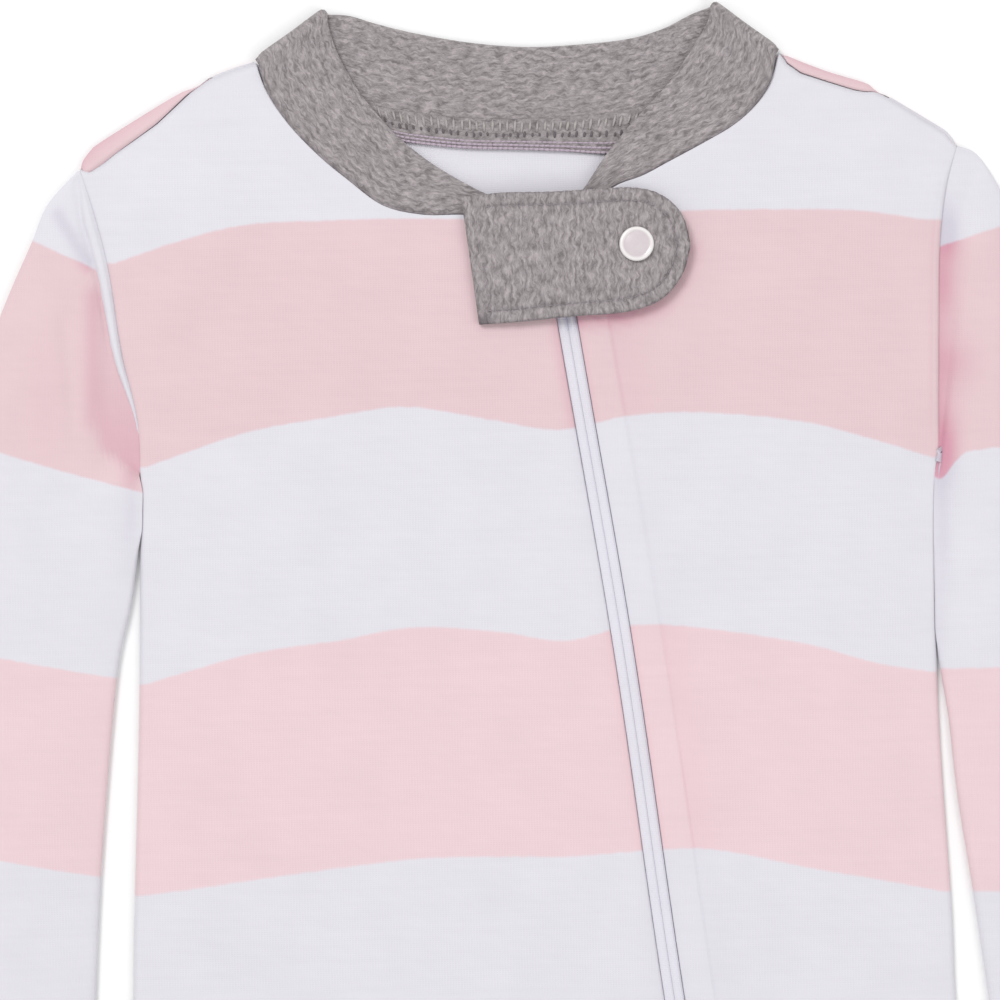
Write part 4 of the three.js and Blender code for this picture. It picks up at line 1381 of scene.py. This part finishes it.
def add_stitch(bm, place, direction, length, thick, lift=1.0):
    """One short thread, as a drawn-out ball that lies along its seam"""
    x, y, z = place
    turn = math.atan2(direction[1], direction[0])
    matrix = (
        Matrix.Translation(Vector((x, y + NECK_Y, z)) * MM)
        @ Matrix.Rotation(turn, 4, "Z")
        @ Matrix.Diagonal(Vector((length / 2, thick / 2, thick / 2 * lift, 1 / MM)) * MM)
    )
    bmesh.ops.create_icosphere(bm, subdivisions=1, radius=1.0, matrix=matrix)


def sew(bm, points, height, pitch, length, thick, sunk=0.3):
    """Stitches along a line in plan, each resting on the cloth"""
    total = sum(math.dist(a, b) for a, b in zip(points, points[1:]))
    spots = along(points, max(2, round(total / pitch)))
    for a, b in zip(spots, spots[1:]):
        x, y = between(a, b, 0.5)
        add_stitch(bm, (x, y, height(x, y) + thick * (0.5 - sunk)), (b[0] - a[0], b[1] - a[1]), length, thick)


def spun(profile, centre, base, sides=64):
    """A turned piece from its half section"""
    bm = bmesh.new()
    points = [Vector(((centre[0] + radius) * MM, (centre[1] + NECK_Y) * MM, (base + height) * MM))
              for radius, height in profile]
    verts = [bm.verts.new(point) for point in points]
    for a, b in zip(verts, verts[1:]):
        bm.edges.new((a, b))
    middle = Vector((centre[0] * MM, (centre[1] + NECK_Y) * MM, 0))
    bmesh.ops.spin(bm, geom=bm.verts[:] + bm.edges[:], cent=middle, axis=(0, 0, 1),
                   angle=2 * math.pi, steps=sides, use_merge=True)
    bmesh.ops.remove_doubles(bm, verts=bm.verts, dist=0.000003)
    bmesh.ops.recalc_face_normals(bm, faces=bm.faces)
    return bm


def overlock_strip():
    """Seam allowance of the back neck, folded down over the inside of the back panel"""
    ends = OVERLOCK_ENDS
    top = along([ends[0], *OVERLOCK_TOP[1:-1], ends[2]], 90)
    low = along([ends[1], *OVERLOCK_LOW[1:-1], ends[3]], 90)
    rows = []
    for t in eased(14, 0.4):
        row = []
        for a, b in zip(low, top):
            x, y = between(a, b, t)
            inside = min(t, 1 - t) * OVERLOCK_WIDE
            edge = math.sqrt(max(0.0, 1 - (1 - clamp(inside / 0.6)) ** 2))
            z = OVERLOCK_BASE + OVERLOCK_WALL * (0.35 + 0.65 * edge)
            # Painted shade along the strip's lower edge
            row.append(Knot(x, y, z, x, t * OVERLOCK_WIDE, 0.25 * (1 - smooth(t, 0.05, 0.3))))
        rows.append(row)
    bm = bmesh.new()
    add_patch(bm, rows)
    return bm


# Settings

class SleepsuitClothSettings(bpy.types.PropertyGroup):
    wall: FloatProperty(name="Jersey wall", description="Thickness of the jersey",
                        default=0.00115, min=0.0005, unit="LENGTH")
    white: FloatVectorProperty(name="White stripe", description="Colour of the white stripes and the inside",
                               subtype="COLOR", size=3, default=(0.69, 0.675, 0.725), min=0, max=1)
    pink: FloatVectorProperty(name="Pink stripe", description="Colour of the pink stripes",
                              subtype="COLOR", size=3, default=(0.698, 0.527, 0.552), min=0, max=1)
    pink_low: FloatVectorProperty(name="Pink stripe, lower", description="Paler pink from the waist down",
                                  subtype="COLOR", size=3, default=(0.748, 0.573, 0.604), min=0, max=1)
    # Tints towards which the painted shade darkens the cloth, heather and zip in folds, grooves and under
    # parts
    white_painted_shade: FloatVectorProperty(name="White crease", description="Tint of pressed creases in white",
                                     subtype="COLOR", size=3, default=(0.84, 0.82, 0.87), min=0, max=1)
    pink_painted_shade: FloatVectorProperty(name="Pink crease", description="Tint of pressed creases in pink",
                                    subtype="COLOR", size=3, default=(0.86, 0.56, 0.68), min=0, max=1)
    grey: FloatVectorProperty(name="Heather grey", description="Mean colour of the neckband and tab",
                              subtype="COLOR", size=3, default=(0.305, 0.275, 0.28), min=0, max=1)
    grey_painted_shade: FloatVectorProperty(name="Heather crease", description="Tint of the heather's seams",
                                    subtype="COLOR", size=3, default=(0.45, 0.42, 0.45), min=0, max=1)
    tape: FloatVectorProperty(name="Zip", description="Colour of the zip's tape and coil",
                              subtype="COLOR", size=3, default=(0.715, 0.70, 0.762), min=0, max=1)
    tape_painted_shade: FloatVectorProperty(name="Zip groove", description="Tint between the tape's ribs",
                                    subtype="COLOR", size=3, default=(0.72, 0.72, 0.8), min=0, max=1)


class SleepsuitTrimSettings(bpy.types.PropertyGroup):
    stitch: FloatProperty(name="Stitch length", description="Length of a topstitch",
                          default=0.0022, min=0.001, unit="LENGTH")
    thread: FloatProperty(name="Thread", description="Thickness of the sewing thread",
                          default=0.00042, min=0.0002, unit="LENGTH")
    pearl: FloatVectorProperty(name="Pearl", description="Main colour of the snap",
                               subtype="COLOR", size=3, default=(0.64, 0.58, 0.595), min=0, max=1)
    pearl_rim: FloatVectorProperty(name="Pearl rim", description="Colour of the snap's raised rim",
                                   subtype="COLOR", size=3, default=(0.80, 0.77, 0.76), min=0, max=1)
    pearl_deep: FloatVectorProperty(name="Pearl swirl", description="Second colour of the snap",
                                    subtype="COLOR", size=3, default=(0.59, 0.52, 0.545), min=0, max=1)
    enamel: FloatVectorProperty(name="Slider", description="Colour of the slider and its pull",
                                subtype="COLOR", size=3, default=(0.72, 0.71, 0.76), min=0, max=1)


class SleepsuitStageSettings(bpy.types.PropertyGroup):
    floor: FloatVectorProperty(name="Floor", description="Colour of the floor",
                               subtype="COLOR", size=3, default=(0.9, 0.9, 0.9), min=0, max=1)
    fill: FloatProperty(name="Fill", description="Strength of the light from all round",
                        default=0.708, min=0)
    key: FloatProperty(name="Key", description="Power of the soft light at the upper left",
                       default=17.2, min=0, unit="POWER")
    side: FloatProperty(name="Side fill", description="Power of the soft light at the lower right",
                        default=4.1, min=0, unit="POWER")
    camera_height: FloatProperty(name="Camera height", description="Camera above the garment's upper face",
                                 default=0.8056, min=0.1, unit="LENGTH")
    roll: FloatProperty(name="Camera roll", description="Turn of the picture",
                        default=math.radians(-1.6), unit="ROTATION")


# Operators

class SleepsuitOperator:
    bl_options = {"REGISTER", "UNDO"}


class SLEEPSUIT_OT_body(SleepsuitOperator, bpy.types.Operator):
    """Cut the back and both fronts from striped jersey"""
    bl_idname = "sleepsuit.body"
    bl_label = "Body"

    def execute(self, context):
        wall = context.scene.sleepsuit_cloth.wall / MM
        outside, inside = jersey("jersey_striped"), jersey("jersey_inside", striped=False, tint=1.03)
        back = make_object("back_cloth", back_panel(), [outside, inside])
        thicken(back, wall, rim=0, even=False)
        register_piece(back, "jersey", "back_panel")
        right = make_object("front_cloth_right", front_panel_right(), [outside, inside])
        thicken(right, wall, rim=0)
        register_piece(right, "jersey", "front_panel_right")
        left = make_object("front_cloth_left", front_panel_left(), [outside, inside])
        thicken(left, wall, rim=0)
        register_piece(left, "jersey", "front_panel_left")
        return {"FINISHED"}


class SLEEPSUIT_OT_sleeves(SleepsuitOperator, bpy.types.Operator):
    """Set both sleeves into the armholes"""
    bl_idname = "sleepsuit.sleeves"
    bl_label = "Sleeves"

    def execute(self, context):
        wall = context.scene.sleepsuit_cloth.wall / MM
        outside, inside = bpy.data.materials["jersey_striped"], bpy.data.materials["jersey_inside"]
        for name, node in (("left", "sleeve_right"), ("right", "sleeve_left")):
            piece = make_object(node + "_cloth", sleeve(name), [outside, inside])
            thicken(piece, wall, even=False)
            register_piece(piece, "jersey", node)
        return {"FINISHED"}


class SLEEPSUIT_OT_feet(SleepsuitOperator, bpy.types.Operator):
    """Sew the feet to the ankles"""
    bl_idname = "sleepsuit.feet"
    bl_label = "Feet"

    def execute(self, context):
        wall = context.scene.sleepsuit_cloth.wall / MM
        outside, inside = bpy.data.materials["jersey_striped"], bpy.data.materials["jersey_inside"]
        for name, out, inner in (("right", "leftOut", "leftIn"), ("left", "rightIn", "rightOut")):
            upper = make_object(f"foot_upper_{name}_cloth", foot_upper(out, inner), [outside, inside])
            thicken(upper, wall, rim=0, even=False)
            register_piece(upper, "jersey", f"foot_upper_{name}")
            sole = make_object(f"foot_sole_{name}_cloth", foot_sole(out, inner), [outside, inside])
            thicken(sole, wall)
            register_piece(sole, "jersey", f"foot_sole_{name}")
        return {"FINISHED"}


class SLEEPSUIT_OT_neckband(SleepsuitOperator, bpy.types.Operator):
    """Bind the neck with a doubled ribbon of grey heather"""
    bl_idname = "sleepsuit.neckband"
    bl_label = "Neckband"

    def execute(self, context):
        piece = make_object("neckband_ribbing", neckband(), [heather("heather_ribbing")])
        register_piece(piece, "ribbing", "neckband")
        return {"FINISHED"}


class SLEEPSUIT_OT_tab(SleepsuitOperator, bpy.types.Operator):
    """Close the neck with the topstitched tab"""
    bl_idname = "sleepsuit.tab"
    bl_label = "Tab"

    def execute(self, context):
        piece = make_object("neck_tab_heather", neck_tab(), [heather("heather_tab")])
        register_piece(piece, "ribbing", "neck_tab")
        return {"FINISHED"}


class SLEEPSUIT_OT_snap(SleepsuitOperator, bpy.types.Operator):
    """Fasten the tab with its pearl snap"""
    bl_idname = "sleepsuit.snap"
    bl_label = "Snap"

    def execute(self, context):
        pearl = pearl_material()
        base = tab_under(SNAP[0]) + TAB_WALL + GAP
        profile = [(0, 0), (4.4, 0), (4.85, 0.12), (5.0, 0.4), (4.95, 0.72), (4.72, 1.0), (4.4, 1.13),
                   (4.05, 1.12), (3.8, 1.0), (3.62, 0.93), (3.3, 0.98), (2.6, 1.1), (1.7, 1.22),
                   (0.8, 1.29), (0, 1.32)]
        cap = make_object("snap_cap_pearl", spun(profile, SNAP, base), [pearl])
        register_piece(cap, "pearl_snap", "snap_cap")
        dress("snap_socket", pearl)
        return {"FINISHED"}


class SLEEPSUIT_OT_zip(SleepsuitOperator, bpy.types.Operator):
    """Lay the zip's tapes, coils and slider between the fronts"""
    bl_idname = "sleepsuit.zip"
    bl_label = "Zip"

    def execute(self, context):
        tape = tape_material()
        nylon = nylon_material()
        enamel = enamel_material()
        levels = steps(ANKLE + 0.3, ZIP_TOP, 220)
        places = [
            0.015, 0.2, 0.4, 0.65, 0.95, 1.3, 1.7, 2.1, 2.5, 2.75, 2.86, 2.93, 3.0, 3.3, 5, 7, 9, 11, 13,
        ]
        for name, mirror in (("zip_tape_right", -1), ("zip_tape_left", 1)):
            bm = bmesh.new()
            rows = []
            for y in levels:
                row = []
                for off in places if mirror > 0 else places[::-1]:
                    x = zip_x(y) + mirror * off
                    rib = 0.62 * (1 - smooth(off, 2.84, 2.98)) * (1 - 0.3 * math.exp(-((off / 0.5) ** 2)))
                    z = front_under(x, y) - GAP + rib
                    # Painted shade in the groove between the ribs and beside the cloth's edge, and a painted
                    # shadow just under the tab that leaves the ribs' crests lit
                    shade = 0.22 * math.exp(-((off / 0.5) ** 2)) + 0.18 * smooth(off, 2.1, 2.9)
                    tab_painted_shadow = smooth(y, -50.5, -47.5) * (1 - math.exp(-(((off - 1.45) / 0.55) ** 2)))
                    row.append(Knot(x, y, z, y, mirror * off, clamp(shade + 0.8 * tab_painted_shadow)))
                rows.append(row)
            add_patch(bm, rows)
            piece = make_object(name + "_woven", bm, [tape, tape])
            thicken(piece, TAPE_WALL, rim=0)
            register_piece(piece, "zip_tape", name)
        # Coil: small paired teeth behind the tapes, as on a reversed zip
        bm = bmesh.new()
        rng = random.Random(4)
        y = ANKLE + 1
        while y < -32:
            for sign in (-1, 1):
                yy = y + (0.45 if sign > 0 else 0)
                x = zip_x(yy) + sign * 0.42
                z = front_under(x, yy) - GAP - TAPE_WALL - 0.22 + rng.uniform(-0.02, 0.02)
                add_stitch(bm, (x, yy, z), (1, 0.18 * sign), 1.15, 0.6, 0.9)
            y += 0.9
        coil = make_object("zip_coil_teeth", bm, [nylon])
        register_piece(coil, "zip_coil", "zip_chain")
        dress("zip_slider", enamel)
        dress("zip_pull", enamel)
        return {"FINISHED"}


class SLEEPSUIT_OT_seams(SleepsuitOperator, bpy.types.Operator):
    """Sew the topstitching and the overlocked neck seam"""
    bl_idname = "sleepsuit.seams"
    bl_label = "Seams"

    def execute(self, context):
        trim = context.scene.sleepsuit_trim
        length, thick = trim.stitch / MM, trim.thread / MM
        grey = thread("thread_grey", (0.26, 0.235, 0.245))
        white = thread("thread_white", (0.70, 0.685, 0.73), 0.05)
        # Topstitch round the tab
        bm = bmesh.new()
        lower, upper = tab_edges()
        edge = lower[:-1] + upper[::-1]
        line = [p for p in shifted(edge[::6], TAB_STITCH_IN) if p[0] > -11.5]
        outline = tab_outline()
        sew(bm, line, lambda x, y: tab_height(x, y, tab_inside(x, y, outline)), 2.5, 1.9, 0.42, 0.1)
        register_piece(make_object("tab_topstitch", bm, [grey]), "ribbing")
        # Overlocked seam inside the back neck: upright loops, dark marks beside them as painted shadows of
        # the loops, and three lines of mauve thread
        strip = make_object("neck_allowance", overlock_strip(), [heather("heather_allowance", 0.92)])
        thicken(strip, 0.9, rim=0)
        register_piece(strip, "ribbing")
        top, low = along(OVERLOCK_TOP, 36), along(OVERLOCK_LOW, 36)
        pale = thread("thread_pale_grey", (0.39, 0.36, 0.355))
        # Dark material of the painted shadows beside the loops
        dark = thread("painted_loop_shadow", (0.13, 0.11, 0.12))
        mauve = thread("thread_mauve", (0.46, 0.38, 0.45), 0.2)
        rng = random.Random(7)
        loops, shadows = bmesh.new(), bmesh.new()
        on_top = OVERLOCK_BASE + OVERLOCK_WALL
        for a, b in zip(top, low):
            lean, slip = rng.uniform(-0.5, 0.5), rng.uniform(-0.22, 0.22)
            x, y = between(b, a, 0.74)
            add_stitch(loops, (x + slip, y + slip, on_top + 0.1), (a[0] - b[0] + lean, a[1] - b[1]),
                       rng.uniform(3.4, 4.4), rng.uniform(0.75, 1.0))
            # Painted shadow of the loop: a dark mark set beside and below it
            x, y = between(b, a, 0.46)
            add_stitch(shadows, (x + 1.0 + slip, y - slip, on_top + 0.02),
                       (a[0] - b[0] + lean * 3, a[1] - b[1]), rng.uniform(1.3, 2.4), rng.uniform(0.7, 1.0))
        register_piece(make_object("overlock_loops", loops, [pale]), "ribbing")
        register_piece(make_object("overlock_painted_shadows", shadows, [dark]), "ribbing")
        chain = bmesh.new()
        for share, thick_line in ((0.03, 0.95), (0.14, 0.85), (0.25, 0.6)):
            line = [between(b, a, share) for a, b in zip(top, low)]
            sew(chain, line, lambda x, y: OVERLOCK_BASE + OVERLOCK_WALL * 0.85, 1.5, 2.2, thick_line, 0.3)
        register_piece(make_object("overlock_edge", chain, [mauve]), "ribbing")
        # Ankle seams, stopped short of the zip
        bm = bmesh.new()
        for out, inner in (("leftOut", "leftIn"), ("rightIn", "rightOut")):
            y = ANKLE + 2.2
            a, b = leg_side(out, y) + 3, leg_side(inner, y) - 3
            for gap in ((a, b),) if out == "leftOut" else ((a, zip_x(y) - 5), (zip_x(y) + 5, b)):
                sew(bm, [[x, y] for x in steps(gap[0], gap[1], 12)], front_over, 2.6, length, thick)
        register_piece(make_object("ankle_topstitch", bm, [white]), "jersey")
        # Sleeve hems, sewn 12 mm from the fold
        bm = bmesh.new()
        for name in ("left", "right"):
            line = [list(knot.at) for knot in sleeve_knots(name)[-5][53:90]]
            spots = along(line, round(math.dist(line[0], line[-1]) / 2.6))
            for a, b in zip(spots, spots[1:]):
                x, y, z = between(a, b, 0.5)
                add_stitch(bm, (x, y, z + thick * 0.2), (b[0] - a[0], b[1] - a[1]), length, thick)
        register_piece(make_object("hem_topstitch", bm, [white]), "jersey")
        return {"FINISHED"}


def soft_light(name, size, power, place, target):
    """A round soft light, turned to a place"""
    lamp = bpy.data.lights.new(name, "AREA")
    lamp.shape = "DISK"
    lamp.size = size
    lamp.energy = power
    light = bpy.data.objects.new(name, lamp)
    light.location = place
    aim = Vector(target) - light.location
    light.rotation_euler = aim.to_track_quat("-Z", "Y").to_euler()
    bpy.context.scene.collection.objects.link(light)


class SLEEPSUIT_OT_stage(SleepsuitOperator, bpy.types.Operator):
    """Set the floor, the soft light and the camera"""
    bl_idname = "sleepsuit.stage"
    bl_label = "Stage"

    def execute(self, context):
        stage = context.scene.sleepsuit_stage
        bm = bmesh.new()
        bmesh.ops.create_grid(bm, x_segments=2, y_segments=2, size=3.0,
                              matrix=Matrix.Translation((0, 0, -0.0002)))
        floor = make_object("floor", bm, [floor_material()], False)
        world = bpy.data.worlds.new("studio_fill")
        world.use_nodes = True
        world.node_tree.nodes["Background"].inputs[0].default_value = (1, 1, 1, 1)
        world.node_tree.nodes["Background"].inputs[1].default_value = stage.fill
        context.scene.world = world
        soft_light("key", 0.8, stage.key, (-0.75, 1.05, 1.65), (0, 0.15, 0))
        soft_light("side_fill", 1.0, stage.side, (0.85, -0.35, 1.1), (0.1, 0.1, 0))
        lens = bpy.data.cameras.new("camera")
        lens.lens = 100
        lens.sensor_width = 36
        lens.clip_start = 0.05
        camera = bpy.data.objects.new("camera", lens)
        camera.location = (-0.00797, 0.1737, 0.005 + stage.camera_height)
        camera.rotation_euler = (0, 0, stage.roll)
        context.scene.collection.objects.link(camera)
        context.scene.camera = camera
        context.scene.view_settings.view_transform = "Standard"
        return {"FINISHED"}


class SLEEPSUIT_PT_panel(bpy.types.Panel):
    """Lists the sleepsuit's pieces and settings"""
    bl_idname = "SLEEPSUIT_PT_panel"
    bl_label = "Sleepsuit"
    bl_space_type = "VIEW_3D"
    bl_region_type = "UI"
    bl_category = "Sleepsuit"

    def draw(self, context):
        for operator in OPERATORS:
            self.layout.operator(operator.bl_idname)
        for group in ("sleepsuit_cloth", "sleepsuit_trim", "sleepsuit_stage"):
            settings = getattr(context.scene, group)
            for name in settings.__annotations__:
                self.layout.prop(settings, name)


OPERATORS = (
    SLEEPSUIT_OT_body, SLEEPSUIT_OT_sleeves, SLEEPSUIT_OT_feet, SLEEPSUIT_OT_neckband,
    SLEEPSUIT_OT_tab, SLEEPSUIT_OT_snap, SLEEPSUIT_OT_zip, SLEEPSUIT_OT_seams, SLEEPSUIT_OT_stage,
)
SETTINGS = (SleepsuitClothSettings, SleepsuitTrimSettings, SleepsuitStageSettings)


def register():
    for kind in SETTINGS + OPERATORS + (SLEEPSUIT_PT_panel,):
        bpy.utils.register_class(kind)
    bpy.types.Scene.sleepsuit_cloth = PointerProperty(type=SleepsuitClothSettings)
    bpy.types.Scene.sleepsuit_trim = PointerProperty(type=SleepsuitTrimSettings)
    bpy.types.Scene.sleepsuit_stage = PointerProperty(type=SleepsuitStageSettings)


def unregister():
    del bpy.types.Scene.sleepsuit_stage
    del bpy.types.Scene.sleepsuit_trim
    del bpy.types.Scene.sleepsuit_cloth
    for kind in reversed(SETTINGS + OPERATORS + (SLEEPSUIT_PT_panel,)):
        bpy.utils.unregister_class(kind)


def main():
    register()
    for name in ("body", "sleeves", "feet", "neckband", "tab", "snap", "zip", "seams", "stage"):
        getattr(bpy.ops.sleepsuit, name)()
    bpy.context.view_layer.update()


if __name__ == "__main__":
    main()
